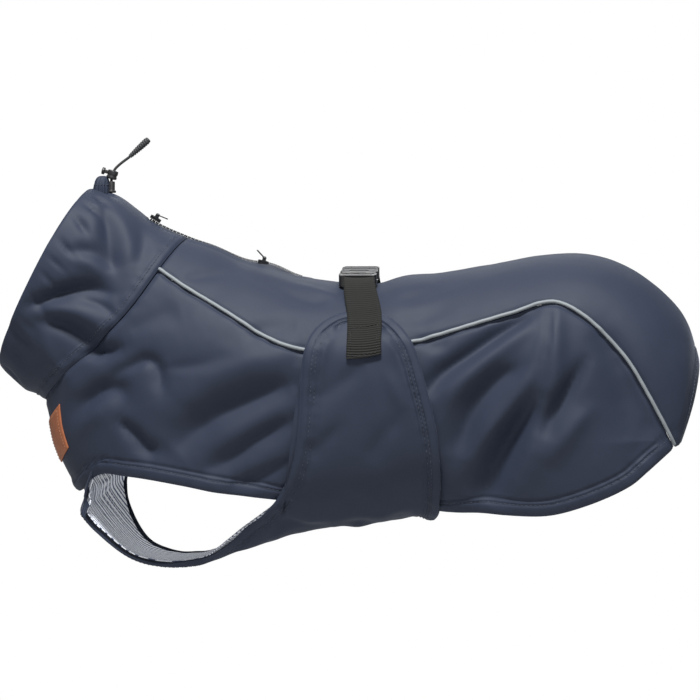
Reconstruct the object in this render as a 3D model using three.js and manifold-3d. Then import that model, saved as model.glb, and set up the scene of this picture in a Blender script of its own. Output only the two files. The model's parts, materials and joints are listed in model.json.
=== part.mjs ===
// A rain coat for a dog, filled out as when worn, in millimetres, +Z up, head towards -X, near side -Y.
// The cloth is a family of rings, each in a plane across the body from the ridge of the back to the keel.
// Every cloth piece is a thin wall cut from that family along its own seam, hem and piping lines.
import * as THREE from 'three';
import { mergeVertices } from 'three/addons/utils/BufferGeometryUtils.js';
import Module from 'manifold-3d';

const CLOTH = 1.3;
const SEAM_GAP = 0.3;
const PIPING_RADIUS = 1.6;
const PIPING_RISE = 0.2;
const PANEL_SETBACK = PIPING_RADIUS + SEAM_GAP;
const ZIP_WIDTH = 8.4;
const ZIP_CHAIN_WIDTH = 4.2;
const ZIP_CHAIN_RISE = 1.1;
const WEBBING_WIDTH = 25;
const WEBBING_THICKNESS = 1.5;
const WEBBING_GAP = 0.5;
const DRAWCORD_DIAMETER = 2;
const LINING = 1;
const LINING_INSET = 3;
const LINING_GAP = 0.95;
const FLAP_LIFT = 1.5;
const PIPING_BUMP = 3.1;
const STRIP_DEPTH = 3.1;
const LABEL = { length: 34, width: 18, thickness: 1, top: -101, edge: -1.5 };
const BUCKLE = { length: 47, width: 29.5, thickness: 8.4, y: -6.5, z: 3.1, tilt: 0.168 };
const SADDLE = { x: 1.6, y: -6, along: 24, across: 28, depth: -1.5 };

// Rings from the collar's mouth to the rear hem: the ridge and keel points in the side view, the half width,
// how far below the ridge it is widest, the roundness above and below that, and the bow towards the tail.
const RINGS = [
  { ridge: [-198, 68.5], keel: [-265, -62], half: 52, arch: 70, top: 2.0, low: 2.1, bow: -8 },
  { ridge: [-176, 62], keel: [-259, -69], half: 52, arch: 70, top: 2.0, low: 2.1, bow: -3 },
  { ridge: [-152, 44], keel: [-247, -80], half: 51, arch: 70, top: 1.9, low: 2.1, bow: 4 },
  { ridge: [-126, 32], keel: [-232, -88], half: 53, arch: 70, top: 1.85, low: 2.1, bow: 9 },
  { ridge: [-106, 25], keel: [-223, -122], half: 59, arch: 76, top: 1.85, low: 2.2, bow: 5 },
  { ridge: [-84, 15], keel: [-208, -152], half: 65, arch: 79, top: 1.85, low: 2.3, bow: 1 },
  { ridge: [-66, 10], keel: [-188, -180], half: 70, arch: 79, top: 1.9, low: 2.4, bow: 0 },
  { ridge: [-48, 4], keel: [-162, -202], half: 74, arch: 79, top: 1.95, low: 2.5, bow: 0 },
  { ridge: [-31, 1], keel: [-125, -206], half: 76, arch: 79, top: 2.0, low: 2.6, bow: 0 },
  { ridge: [-16, 0], keel: [-88, -195], half: 76, arch: 79, top: 2.0, low: 2.6, bow: 0 },
  { ridge: [-1, -1.5], keel: [-51, -182], half: 76, arch: 79, top: 2.0, low: 2.6, bow: 0 },
  { ridge: [15, -0.5], keel: [-15, -176], half: 76, arch: 79, top: 2.0, low: 2.6, bow: 0 },
  { ridge: [33, 4], keel: [18, -172], half: 77, arch: 79, top: 2.0, low: 2.6, bow: 0 },
  { ridge: [58, 6], keel: [53, -169], half: 79, arch: 79, top: 2.0, low: 2.6, bow: 0 },
  { ridge: [95, 12], keel: [93, -203], half: 81, arch: 82, top: 2.05, low: 2.6, bow: 0 },
  { ridge: [134, 19], keel: [137, -232], half: 83, arch: 85, top: 2.1, low: 2.6, bow: 0 },
  { ridge: [167, 19], keel: [167, -235], half: 83, arch: 85, top: 2.1, low: 2.6, bow: 0 },
  { ridge: [196, 9], keel: [185, -231], half: 82, arch: 82, top: 2.1, low: 2.6, bow: 0 },
  { ridge: [219, -8], keel: [196, -228], half: 78, arch: 78, top: 2.1, low: 2.5, bow: 1 },
  { ridge: [235, -28], keel: [203, -224], half: 71, arch: 70, top: 2.1, low: 2.4, bow: 2 },
  { ridge: [244, -56], keel: [192, -196], half: 61, arch: 60, top: 2.1, low: 2.3, bow: 4 },
];
const SEAM_RING = 3;
const MOUTH = -SEAM_RING;
const REAR = RINGS.length - 1 - SEAM_RING;

// Side view lines, head to tail, as x and z.
const PIPING_LINE = [
  [-144, 10], [-121, -5], [-95, -20], [-55, -43], [-34, -49], [-3, -50.5], [25, -47], [67, -36], [112, -22],
  [129, -16.5], [143, -16.5], [160, -25.5], [177, -40], [191, -57], [204, -80], [213, -97], [221.5, -114],
];
const HEM_LINE = [
  [-209, -153], [-201, -152], [-191, -143], [-180, -138], [-165, -139], [-146, -141], [-121, -145], [-95, -150],
  [-53, -155], [-4, -161], [57, -163.5], [106, -164], [131, -164], [147, -161], [171, -152.5], [192, -142],
  [204, -132], [214, -122], [221.5, -115],
];

// The chest strip, from inside the chest hem to the flaps: keel x, half width and how far its edges trail.
const CHEST_STRIP = [
  { x: -213, half: 52, trail: 0.3 }, { x: -207, half: 50, trail: 0.25 }, { x: -199, half: 46, trail: 0.15 },
  { x: -190, half: 41, trail: 0.05 }, { x: -178, half: 36, trail: 0 }, { x: -162, half: 31, trail: 0 },
  { x: -145, half: 28, trail: 0 }, { x: -128, half: 26, trail: 0 }, { x: -112, half: 26, trail: 0 },
];
// The belly and its side flaps: keel x, the flap's edge point in the side view, and a bow towards the tail.
const FLAP_COLUMNS = [
  { keel: -98, edge: [-90, -184], bow: 0 }, { keel: -86, edge: [-66, -165], bow: 0 },
  { keel: -74, edge: [-50, -146], bow: 0 }, { keel: -64, edge: [-41, -124], bow: 0 },
  { keel: -56, edge: [-37, -100], bow: 0.02 }, { keel: -49, edge: [-36, -75], bow: 0.04 },
  { keel: -42, edge: [-34, -51], bow: 0.04 }, { keel: -32, edge: [-27, -36], bow: 0.04 },
  { keel: -18, edge: [-15, -27], bow: 0.02 }, { keel: -4, edge: [-3, -24], bow: 0 },
  { keel: 10, edge: [9, -23.5], bow: 0 }, { keel: 22, edge: [21, -26], bow: 0.04 },
  { keel: 33, edge: [31, -32.5], bow: 0.12 }, { keel: 43, edge: [40, -43], bow: 0.2 },
  { keel: 48, edge: [43.5, -49.5], bow: 0.27 },
  { keel: 53, edge: [46.5, -57], bow: 0.34 },
];

// Folds pressed into the cloth, in the side view: path, half width of the trough, and depth, ridges positive.
const FOLDS = [
  { path: [[122, -24], [95, -41], [76, -54], [52, -80]], width: 10, depth: -7 },
  { path: [[126, -36], [97, -60], [71, -80], [56, -95]], width: 8, depth: 4 },
  { path: [[106, -62], [81, -82], [72, -103], [62, -125]], width: 10, depth: -5 },
  { path: [[133, -34], [122, -62], [98, -100], [80, -132]], width: 9, depth: 6 },
  { path: [[123, -82], [111, -99], [98, -121], [84, -155]], width: 12, depth: -9 },
  { path: [[140, -26], [135, -52], [133, -84], [116, -140]], width: 10, depth: 6 },
  { path: [[163, -32], [151, -55], [140, -80], [126, -114]], width: 11, depth: -7 },
  { path: [[170, -76], [152, -100], [134, -130]], width: 12, depth: 5 },
  { path: [[172, -40], [181, -62], [183, -84], [180, -112]], width: 13, depth: -4 },
  { path: [[-131, -50], [-127, -71], [-141, -94]], width: 10, depth: -4.5 },
  { path: [[-196, -100], [-176, -80], [-150, -78]], width: 10, depth: -4.5 },
  { path: [[-186, -52], [-155, -47]], width: 8, depth: -3 },
  { path: [[-34, -56], [-73, -70], [-112, -92]], width: 15, depth: -7.5 },
  { path: [[-34, -92], [-67, -106], [-110, -128]], width: 14, depth: -6.5 },
  { path: [[-152, -98], [-130, -116]], width: 9, depth: -3.5 },
  { path: [[-180, 57], [-173, 32], [-167, 4]], width: 8, depth: -4 },
  { path: [[-228, -5], [-194, -2], [-164, 1]], width: 9, depth: -6 },
  { path: [[-224, -22], [-200, -29], [-184, -38]], width: 9, depth: -5 },
  { path: [[-201, 26], [-180, 20], [-166, 8]], width: 8, depth: -3 },
];
const FAR_FOLDS = { shift: [7, -4], strength: 0.85 };

const INK = {
  navy: new THREE.MeshStandardMaterial({ color: 0x333a4d, roughness: 0.62, metalness: 0 }),
  lining: new THREE.MeshStandardMaterial({ color: 0xb9bcc6, roughness: 0.85, metalness: 0 }),
  piping: new THREE.MeshStandardMaterial({ color: 0x9aa1a8, roughness: 0.4, metalness: 0.1 }),
  webbing: new THREE.MeshStandardMaterial({ color: 0x25261f, roughness: 0.9, metalness: 0 }),
  plastic: new THREE.MeshStandardMaterial({ color: 0x1b1c1e, roughness: 0.4, metalness: 0 }),
  metal: new THREE.MeshStandardMaterial({ color: 0x35373a, roughness: 0.35, metalness: 0.8 }),
  cord: new THREE.MeshStandardMaterial({ color: 0x1c1d1f, roughness: 0.85, metalness: 0 }),
  leather: new THREE.MeshStandardMaterial({ color: 0xb5673d, roughness: 0.6, metalness: 0 }),
};

const wasm = await Module();
wasm.setup();

// Smooth curves through tables

const clamp = (value, low, high) => Math.min(high, Math.max(low, value));
const mix = (a, b, t) => a + (b - a) * t;
const smooth = (value, low, high) => {
  const t = clamp((value - low) / (high - low), 0, 1);
  return t * t * (3 - 2 * t);
};

function spline(values, at) {
  const last = values.length - 1;
  const value = (i) => {
    if (i < 0) return 2 * values[0] - values[1];
    return i > last ? 2 * values[last] - values[last - 1] : values[i];
  };
  const i = clamp(Math.floor(at), 0, last - 1);
  const t = at - i;
  if (t < 0 || t > 1) {
    const end = t < 0 ? 0 : last;
    return values[end] + (at - end) * (value(end + 1) - value(end - 1)) / 2;
  }
  const slopeIn = (value(i + 1) - value(i - 1)) / 2;
  const slopeOut = (value(i + 2) - value(i)) / 2;
  const rise = value(i + 1) - value(i);
  return value(i) + slopeIn * t + (3 * rise - 2 * slopeIn - slopeOut) * t * t
    + (slopeIn + slopeOut - 2 * rise) * t * t * t;
}

function heightLine(points) {
  const last = points.length - 1;
  const slope = (i) => {
    const before = points[Math.max(i - 1, 0)];
    const after = points[Math.min(i + 1, last)];
    return (after[1] - before[1]) / (after[0] - before[0]);
  };
  return (x) => {
    if (x <= points[0][0]) return points[0][1] + slope(0) * (x - points[0][0]);
    if (x >= points[last][0]) return points[last][1] + slope(last) * (x - points[last][0]);
    const i = points.findIndex((point, k) => k < last && x < points[k + 1][0]);
    const [x0, z0] = points[i];
    const [x1, z1] = points[i + 1];
    const run = x1 - x0;
    const t = (x - x0) / run;
    const rise = z1 - z0;
    const a = slope(i) * run;
    const b = slope(i + 1) * run;
    return z0 + a * t + (3 * rise - 2 * a - b) * t * t + (a + b - 2 * rise) * t * t * t;
  };
}

const pipingHeight = heightLine(PIPING_LINE);
const hemHeight = heightLine(HEM_LINE);
const flapFront = heightLine(FLAP_COLUMNS.filter(({ keel }) => keel < 0)
  .map(({ edge: [x, z] }) => [z, x]));

// The ring family: numbers run from MOUTH through 0 at the collar seam to REAR, and a turn of 0 is the ridge

function ringAt(ring) {
  const at = ring + SEAM_RING;
  const pick = (name) => spline(RINGS.map((row) => row[name]), at);
  const point = (name) => [0, 1].map((axis) => spline(RINGS.map((row) => row[name][axis]), at));
  const ridge = point('ridge');
  const keel = point('keel');
  const length = Math.hypot(keel[0] - ridge[0], keel[1] - ridge[1]);
  const down = [(keel[0] - ridge[0]) / length, (keel[1] - ridge[1]) / length];
  return {
    ridge, keel, length, down, half: pick('half'), arch: pick('arch'), top: pick('top'), low: pick('low'),
    bow: pick('bow'),
  };
}

const ringCache = new Map();
function cachedRing(ring) {
  const key = ring.toFixed(5);
  if (!ringCache.has(key)) ringCache.set(key, ringAt(ring));
  return ringCache.get(key);
}

function bare(ring, turn) {
  const { ridge, length, down, half, arch, top, low, bow } = cachedRing(ring);
  const cos = Math.cos(turn);
  const sin = Math.sin(turn);
  const upper = cos > 0;
  const depth = upper ? arch : length - arch;
  const power = upper ? top : low;
  const reach = (Math.abs(cos) / depth) ** power + (Math.abs(sin) / half) ** power;
  const radius = reach ** (-1 / power);
  const fall = arch - radius * cos;
  const lean = bow * sin * sin;
  return new THREE.Vector3(ridge[0] + down[0] * fall - down[1] * lean, radius * sin,
    ridge[1] + down[1] * fall + down[0] * lean);
}

function outward(ring, turn) {
  const step = 0.02;
  const along = bare(ring + step, turn).sub(bare(ring - step, turn));
  const round = bare(ring, turn + step).sub(bare(ring, turn - step));
  return along.cross(round).normalize();
}

function distanceToPath(path, x, z) {
  let best = { distance: Infinity, share: 0 };
  for (let i = 0; i < path.length - 1; i += 1) {
    const [x0, z0] = path[i];
    const [x1, z1] = path[i + 1];
    const run = (x1 - x0) ** 2 + (z1 - z0) ** 2;
    const t = clamp(((x - x0) * (x1 - x0) + (z - z0) * (z1 - z0)) / run, 0, 1);
    const distance = Math.hypot(x - mix(x0, x1, t), z - mix(z0, z1, t));
    if (distance < best.distance) best = { distance, share: (i + t) / (path.length - 1) };
  }
  return best;
}

function underFlap(x, z) {
  const front = flapFront(z);
  return smooth(x, front - 10, front) * smooth(-x, -68, -58) * smooth(-z, 14, 24);
}

function foldHeight(point, turn) {
  const side = Math.abs(turn);
  const fade = smooth(side, 0.25, 0.75) * (1 - smooth(side, 2.45, 2.8));
  if (fade === 0) return 0;
  const far = turn > 0;
  const x = far ? point.x - FAR_FOLDS.shift[0] : point.x;
  const z = far ? point.z - FAR_FOLDS.shift[1] : point.z;
  let height = 0;
  for (const { path, width, depth } of FOLDS) {
    const { distance, share } = distanceToPath(path, x, z);
    const taper = 1 - 0.55 * Math.abs(2 * share - 1) ** 3;
    height += depth * taper * Math.exp(-((distance / width) ** 2));
  }
  if (far) height *= FAR_FOLDS.strength;
  if (height > 0) height *= 1 - underFlap(point.x, point.z);
  return height * fade;
}

// The back sinks a little under the buckle.
function saddleHeight({ x, y, z }) {
  if (z < -60) return 0;
  const along = (x - SADDLE.x) / SADDLE.along;
  const across = (y - SADDLE.y) / SADDLE.across;
  return SADDLE.depth * Math.exp(-(along ** 2) - across ** 2);
}

function skin(ring, turn, lift, folded = true) {
  const point = bare(ring, turn);
  const height = folded ? foldHeight(point, turn) + saddleHeight(point) : 0;
  return point.addScaledVector(outward(ring, turn), lift + height);
}

// Where lines of the side view cross the rings

function solve(low, high, isPast) {
  for (let i = 0; i < 40; i += 1) {
    const middle = (low + high) / 2;
    if (isPast(middle)) high = middle;
    else low = middle;
  }
  return (low + high) / 2;
}

const turnAtLine = (ring, line) => solve(0, Math.PI, (turn) => {
  const point = bare(ring, turn);
  return point.z < line(point.x);
});
const turnAtWidth = (ring, width) => solve(0, 1, (turn) => bare(ring, turn).y > width);
const keelTurnAtWidth = (ring, width) => solve(0, 1, (turn) => bare(ring, Math.PI - turn).y > width);
const ringAtX = (x, turn) => solve(-2, REAR, (ring) => bare(ring, turn).x > x);

function locate([x, z]) {
  const ring = solve(1.5, REAR - 4, (candidate) => {
    const { ridge, down } = cachedRing(candidate);
    return (x - ridge[0]) * down[1] - (z - ridge[1]) * down[0] > 0;
  });
  const turn = solve(0, Math.PI, (candidate) => bare(ring, candidate).z < z);
  return { ring, turn };
}

function speedAround(ring, turn, lineTurn) {
  const step = 0.01;
  const round = bare(ring, turn + step).sub(bare(ring, turn - step)).divideScalar(2 * step);
  const ahead = bare(ring + step, lineTurn(ring + step));
  const along = ahead.sub(bare(ring - step, lineTurn(ring - step))).normalize();
  return round.cross(along).length();
}

const pipingTurn = (ring) => turnAtLine(ring, pipingHeight);
const hemTurn = (ring) => turnAtLine(ring, hemHeight);
const setback = (ring) => PANEL_SETBACK / speedAround(ring, pipingTurn(ring), pipingTurn);

// Closed walls and beads

function geometryFrom(points, faces) {
  const geometry = new THREE.BufferGeometry();
  const flat = points.flatMap((point) => [point.x, point.y, point.z]);
  geometry.setAttribute('position', new THREE.Float32BufferAttribute(flat, 3));
  let volume = 0;
  for (const [a, b, c] of faces) {
    volume += points[a].dot(points[b].clone().cross(points[c]));
  }
  const turned = volume < 0 ? faces.map(([a, b, c]) => [a, c, b]) : faces;
  geometry.setIndex(turned.flat());
  geometry.computeVertexNormals();
  return geometry;
}

// A wall between two skins over a grid: face(row, column, isOuter) gives a point, and open(row, column)
// leaves a cell out.
function wall({ rows, columns, closed = false, face, open = () => false }) {
  const points = [];
  const faces = [];
  const numbers = new Map();
  const number = (row, column, isOuter) => {
    const key = `${row},${closed ? column % columns : column},${isOuter}`;
    if (!numbers.has(key)) {
      numbers.set(key, points.length);
      points.push(face(row, closed ? column % columns : column, isOuter));
    }
    return numbers.get(key);
  };
  const cellColumns = closed ? columns : columns - 1;
  const isCell = (row, column) => {
    if (row < 0 || row >= rows - 1) return false;
    if (!closed && (column < 0 || column >= cellColumns)) return false;
    return !open(row, (column + cellColumns) % cellColumns);
  };
  const quad = (a, b, c, d) => faces.push([a, b, c], [a, c, d]);
  for (let row = 0; row < rows - 1; row += 1) {
    for (let column = 0; column < cellColumns; column += 1) {
      if (!isCell(row, column)) continue;
      const corners = [[row, column], [row, column + 1], [row + 1, column + 1], [row + 1, column]];
      const outer = corners.map(([i, j]) => number(i, j, true));
      const inner = corners.map(([i, j]) => number(i, j, false));
      quad(...outer);
      quad(inner[3], inner[2], inner[1], inner[0]);
      const beyond = [[row - 1, column], [row, column + 1], [row + 1, column], [row, column - 1]];
      beyond.forEach(([i, j], side) => {
        if (isCell(i, j)) return;
        const next = (side + 1) % 4;
        quad(outer[side], inner[side], inner[next], outer[next]);
      });
    }
  }
  return geometryFrom(points, faces);
}

// A round bead along a row of stations, each with its centre and two directions across it.
function bead(stations, radius, sides) {
  const points = [];
  const faces = [];
  for (const { centre, up, across } of stations) {
    for (let k = 0; k < sides; k += 1) {
      const angle = 2 * Math.PI * k / sides;
      points.push(centre.clone().addScaledVector(up, radius * Math.cos(angle))
        .addScaledVector(across, radius * Math.sin(angle)));
    }
  }
  for (let i = 0; i < stations.length - 1; i += 1) {
    for (let k = 0; k < sides; k += 1) {
      const a = i * sides + k;
      const b = i * sides + (k + 1) % sides;
      faces.push([a, b, b + sides], [a, b + sides, a + sides]);
    }
  }
  const end = (stations.length - 1) * sides;
  for (let k = 1; k < sides - 1; k += 1) {
    faces.push([0, k + 1, k], [end, end + k, end + k + 1]);
  }
  return geometryFrom(points, faces);
}

// Boolean joins and cuts of closed pieces

function toSolid(source, matrix = new THREE.Matrix4()) {
  const plain = source.clone().applyMatrix4(matrix);
  plain.deleteAttribute('normal');
  plain.deleteAttribute('uv');
  const merged = mergeVertices(plain, 1e-4);
  return new wasm.Manifold(new wasm.Mesh({
    numProp: 3,
    vertProperties: new Float32Array(merged.attributes.position.array),
    triVerts: new Uint32Array(merged.index.array),
  }));
}

function toGeometry(solid) {
  const mesh = solid.getMesh();
  const geometry = new THREE.BufferGeometry();
  geometry.setAttribute('position', new THREE.BufferAttribute(new Float32Array(mesh.vertProperties), 3));
  geometry.setIndex(new THREE.BufferAttribute(new Uint32Array(mesh.triVerts), 1));
  geometry.computeVertexNormals();
  return geometry;
}

const moved = (x, y, z) => new THREE.Matrix4().makeTranslation(x, y, z);
const box = (width, depth, height, x = 0, y = 0, z = 0) => (
  toSolid(new THREE.BoxGeometry(width, depth, height), moved(x, y, z)));
function rodAlongY(radius, length, x, z, sides = 12) {
  return toSolid(new THREE.CylinderGeometry(radius, radius, length, sides), moved(x, 0, z));
}

// Stations along the body

function spread(from, to, count, extra = []) {
  const even = Array.from({ length: count + 1 }, (_, i) => mix(from, to, i / count));
  const kept = even.filter((value) => extra.every((other) => Math.abs(other - value) > 0.12));
  return [...kept, ...extra].sort((a, b) => a - b);
}

const BODY_START = 0.01;
const SIDE_END = REAR - 1.15;
const CHEST_HEM = 2;
const KEEL_CROWDING = { from: 2.6, to: 4.2, power: 1.7 };
const BODY_RINGS = [
  ...spread(BODY_START, SIDE_END, 42, [CHEST_HEM, CHEST_HEM + 0.15, CHEST_HEM + 0.35]),
  REAR - 0.75, REAR - 0.4, REAR,
];
const SIDE_RINGS = BODY_RINGS.filter((ring) => ring <= SIDE_END + 0.001);
// Each side panel's solid is in two lengths that meet under the flap.
const SIDE_BREAK = { ring: 8.5, gap: 0.012, clear: 0.1 };
const SIDE_LENGTHS = {
  front: [...SIDE_RINGS.filter((ring) => ring < SIDE_BREAK.ring - SIDE_BREAK.clear),
    SIDE_BREAK.ring - SIDE_BREAK.gap / 2],
  rear: [SIDE_BREAK.ring + SIDE_BREAK.gap / 2,
    ...SIDE_RINGS.filter((ring) => ring > SIDE_BREAK.ring + SIDE_BREAK.clear)],
};
const ZIP_TOP = -1.15;
const ZIP_FOOT = BODY_RINGS.find((ring) => ring > 4.3);

function backPanel() {
  const perSide = 4;
  const turns = BODY_RINGS.map((ring) => {
    const inner = turnAtWidth(ring, ZIP_WIDTH / 2 + SEAM_GAP);
    const outer = pipingTurn(ring) - setback(ring);
    const side = Array.from({ length: perSide + 1 }, (_, k) => mix(inner, outer, k / perSide));
    return [...side.map((turn) => -turn).reverse(), ...side];
  });
  return wall({
    rows: BODY_RINGS.length,
    columns: 2 * perSide + 2,
    face: (row, column, isOuter) => skin(BODY_RINGS[row], turns[row][column], isOuter ? 0 : -CLOTH),
    open: (row, column) => column === perSide && BODY_RINGS[row + 1] <= ZIP_FOOT + 0.001,
  });
}

function sidePanel(side, rings) {
  const across = 14;
  const turns = rings.map((ring) => {
    const start = pipingTurn(ring) + setback(ring);
    const frontSeam = Math.PI - SEAM_GAP / 2 / (cachedRing(ring).length - cachedRing(ring).arch);
    const end = ring <= CHEST_HEM ? frontSeam : Math.min(hemTurn(ring), frontSeam);
    const crowd = mix(KEEL_CROWDING.power, 1, smooth(ring, KEEL_CROWDING.from, KEEL_CROWDING.to));
    return Array.from({ length: across + 1 }, (_, k) => mix(end, start, (1 - k / across) ** crowd));
  });
  return wall({
    rows: rings.length,
    columns: across + 1,
    face: (row, column, isOuter) => skin(rings[row], side * turns[row][column], isOuter ? 0 : -CLOTH),
  });
}

function collar() {
  const rings = spread(MOUTH, -BODY_START, 9, [ZIP_TOP]);
  const halfCount = 15;
  const turns = rings.map((ring) => {
    const inner = turnAtWidth(ring, ZIP_WIDTH / 2 + SEAM_GAP);
    const side = Array.from({ length: halfCount + 1 }, (_, k) => mix(inner, Math.PI, (k / halfCount) ** 1.05));
    return [...side, ...side.slice(0, -1).map((turn) => -turn).reverse()];
  });
  const columns = turns[0].length;
  return wall({
    rows: rings.length,
    columns,
    closed: true,
    face: (row, column, isOuter) => skin(rings[row], turns[row][column], isOuter ? 0 : -CLOTH),
    open: (row, column) => column === columns - 1 && rings[row] >= ZIP_TOP - 0.001,
  });
}

function piping(side) {
  const rings = SIDE_RINGS;
  const stations = rings.map((ring, i) => {
    const centre = skin(ring, side * pipingTurn(ring), PIPING_RISE);
    const before = skin(rings[Math.max(i - 1, 0)], side * pipingTurn(rings[Math.max(i - 1, 0)]), PIPING_RISE);
    const next = Math.min(i + 1, rings.length - 1);
    const after = skin(rings[next], side * pipingTurn(rings[next]), PIPING_RISE);
    const tangent = after.sub(before).normalize();
    const across = tangent.clone().cross(outward(ring, side * pipingTurn(ring))).normalize();
    return { centre, up: across.clone().cross(tangent).normalize(), across };
  });
  return bead(stations, PIPING_RADIUS, 6);
}

// The zip, set in the slit along the nape and the withers

function zipChain() {
  const start = ZIP_TOP + 0.03;
  const rings = [...spread(start, -0.35, 3), ...BODY_RINGS.filter((ring) => ring < ZIP_FOOT - 0.001),
    ZIP_FOOT - 0.02];
  const edges = [-ZIP_WIDTH / 2, -ZIP_CHAIN_WIDTH / 2 - 0.5, -ZIP_CHAIN_WIDTH / 2, ZIP_CHAIN_WIDTH / 2,
    ZIP_CHAIN_WIDTH / 2 + 0.5, ZIP_WIDTH / 2];
  const rise = [0, 0, ZIP_CHAIN_RISE, ZIP_CHAIN_RISE, 0, 0];
  return wall({
    rows: rings.length,
    columns: edges.length,
    face: (row, column, isOuter) => {
      const turn = turnAtWidth(rings[row], Math.abs(edges[column])) * Math.sign(edges[column]);
      return skin(rings[row], turn, isOuter ? -0.2 + rise[column] : -1.2, false);
    },
  });
}

// Rest is the angle of a slider's pull tab up from the zip, 0 towards the tail and pi towards the head.
const SLIDERS = [
  { name: 'nape', ring: -0.98, rest: 0.15 },
  { name: 'withers', ring: 2.7, rest: 2.55 },
];
const SLIDER = {
  length: 8, width: 6.4, height: 2.4, lift: 1.2, bar: 1.9, barRadius: 0.5, post: 0.8, postGap: 3.6,
};
const SLIDER_NOTCH = { length: 2.6, width: 1.2, fromEnd: 0.8 };
const PULL_TAB = { length: 12, width: 4.6, thickness: 1.1, neck: 3, eye: 1.3, hole: [3.4, 2] };

// The slider's own frame: x along the ridge towards the tail, z out of the cloth.
function sliderFrame(ring) {
  const place = skin(ring, 0, SLIDER.lift, false);
  const tail = bare(ring + 0.05, 0).sub(bare(ring - 0.05, 0)).normalize();
  const out = outward(ring, 0);
  const across = out.clone().cross(tail).normalize();
  return new THREE.Matrix4().makeBasis(tail, across, out).setPosition(place);
}

function sliderBody() {
  const { length, width, height, bar, barRadius, post, postGap } = SLIDER;
  const postHeight = bar + barRadius;
  const notchAt = length / 2 - SLIDER_NOTCH.fromEnd;
  const notch = box(SLIDER_NOTCH.length, SLIDER_NOTCH.width, 2 * height, notchAt, 0, height / 2);
  let slider = box(length, width, height, 0, 0, height / 2).subtract(notch);
  for (const side of [-1, 1]) {
    const postAt = side * (postGap + post) / 2;
    slider = slider.add(box(4 * barRadius, post, postHeight, 0, postAt, height + postHeight / 2));
  }
  return toGeometry(slider.add(rodAlongY(barRadius, postGap + 2 * post, 0, height + bar)));
}

// The pull tab is turned about its bar by its rest angle.
function pullTab(rest) {
  const { length, width, thickness, neck, eye, hole } = PULL_TAB;
  const shape = box(neck + 1, SLIDER.postGap - 2 * SEAM_GAP, thickness, neck / 2, 0, 0)
    .add(rodAlongY(eye, SLIDER.postGap - 2 * SEAM_GAP, 0, 0))
    .add(box(length - neck, width, thickness, neck + (length - neck) / 2, 0, 0))
    .subtract(rodAlongY(SLIDER.barRadius + SEAM_GAP, width, 0, 0))
    .subtract(box(hole[0], hole[1], 2 * thickness, length - hole[0], 0, 0));
  const lifted = new THREE.Matrix4().makeRotationY(-rest);
  return toGeometry(shape).applyMatrix4(lifted);
}

// The belly panel: chest strip, belly and both flaps in one piece, as columns from keel to edge

const keelRing = (x) => ringAtX(x, Math.PI);

function bellyColumns() {
  const strip = CHEST_STRIP.map(({ x, half, trail }) => {
    const keel = keelRing(x);
    const ring = keel + trail;
    return { keel, edge: { ring, turn: Math.PI - keelTurnAtWidth(ring, half) }, bow: 0, strip: true };
  });
  const flaps = FLAP_COLUMNS.map(({ keel, edge, bow }) => (
    { keel: keelRing(keel), edge: locate(edge), bow, strip: false }));
  return [...strip, ...flaps];
}

function bellySpot(column, share) {
  const ring = mix(column.keel, column.edge.ring, share) + column.bow * Math.sin(Math.PI * share);
  return { ring, turn: mix(Math.PI, column.edge.turn, share) };
}

function bellyLift(point) {
  const inside = smooth(point.z - hemHeight(point.x), -14, -2) * smooth(-point.x, 150, 165);
  const overPiping = Math.exp(-(((point.z - pipingHeight(point.x)) / 13) ** 2)) * smooth(point.z, -110, -90);
  const flap = FLAP_LIFT + PIPING_BUMP * overPiping;
  return mix(flap, -CLOTH - STRIP_DEPTH - CLOTH, inside);
}

function bellyPanel() {
  const columns = bellyColumns();
  const across = 12;
  return wall({
    rows: columns.length,
    columns: 2 * across + 1,
    face: (row, column, isOuter) => {
      const side = column < across ? -1 : 1;
      const { ring, turn } = bellySpot(columns[row], Math.abs(column - across) / across);
      const lift = bellyLift(bare(ring, turn));
      return skin(ring, side * turn, lift + (isOuter ? CLOTH : 0), false);
    },
  });
}

// The lining backs the strip and the belly as far as the side panels' hems.
function bellyLining() {
  const columns = bellyColumns().filter(({ keel }) => keel < keelRing(-60));
  const across = 6;
  const limits = columns.map((column) => {
    const { ring, turn } = bellySpot(column, 1);
    const inset = LINING_INSET / bare(ring, turn).distanceTo(bare(column.keel, Math.PI));
    const share = 1 - inset;
    if (column.strip) return share;
    return Math.min(share, solve(0, 1, (candidate) => {
      const spot = bellySpot(column, candidate);
      return spot.turn < hemTurn(spot.ring) + 0.09;
    }));
  });
  return wall({
    rows: columns.length,
    columns: 2 * across + 1,
    face: (row, column, isOuter) => {
      const side = column < across ? -1 : 1;
      const { ring, turn } = bellySpot(columns[row], limits[row] * Math.abs(column - across) / across);
      const lift = bellyLift(bare(ring, turn)) - LINING_GAP;
      return skin(ring, side * turn, lift - (isOuter ? 0 : LINING), false);
    },
  });
}

// Webbing and buckle

// The webbing's middle line runs straight over the back, then leans towards the tail down the flaps.
const webbingX = (y) => mix(SADDLE.x, 8, smooth(Math.abs(y), 28, 66));
const WEBBING_FOOT = 1.385;
const WEBBING_STEPS = 14;

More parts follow.
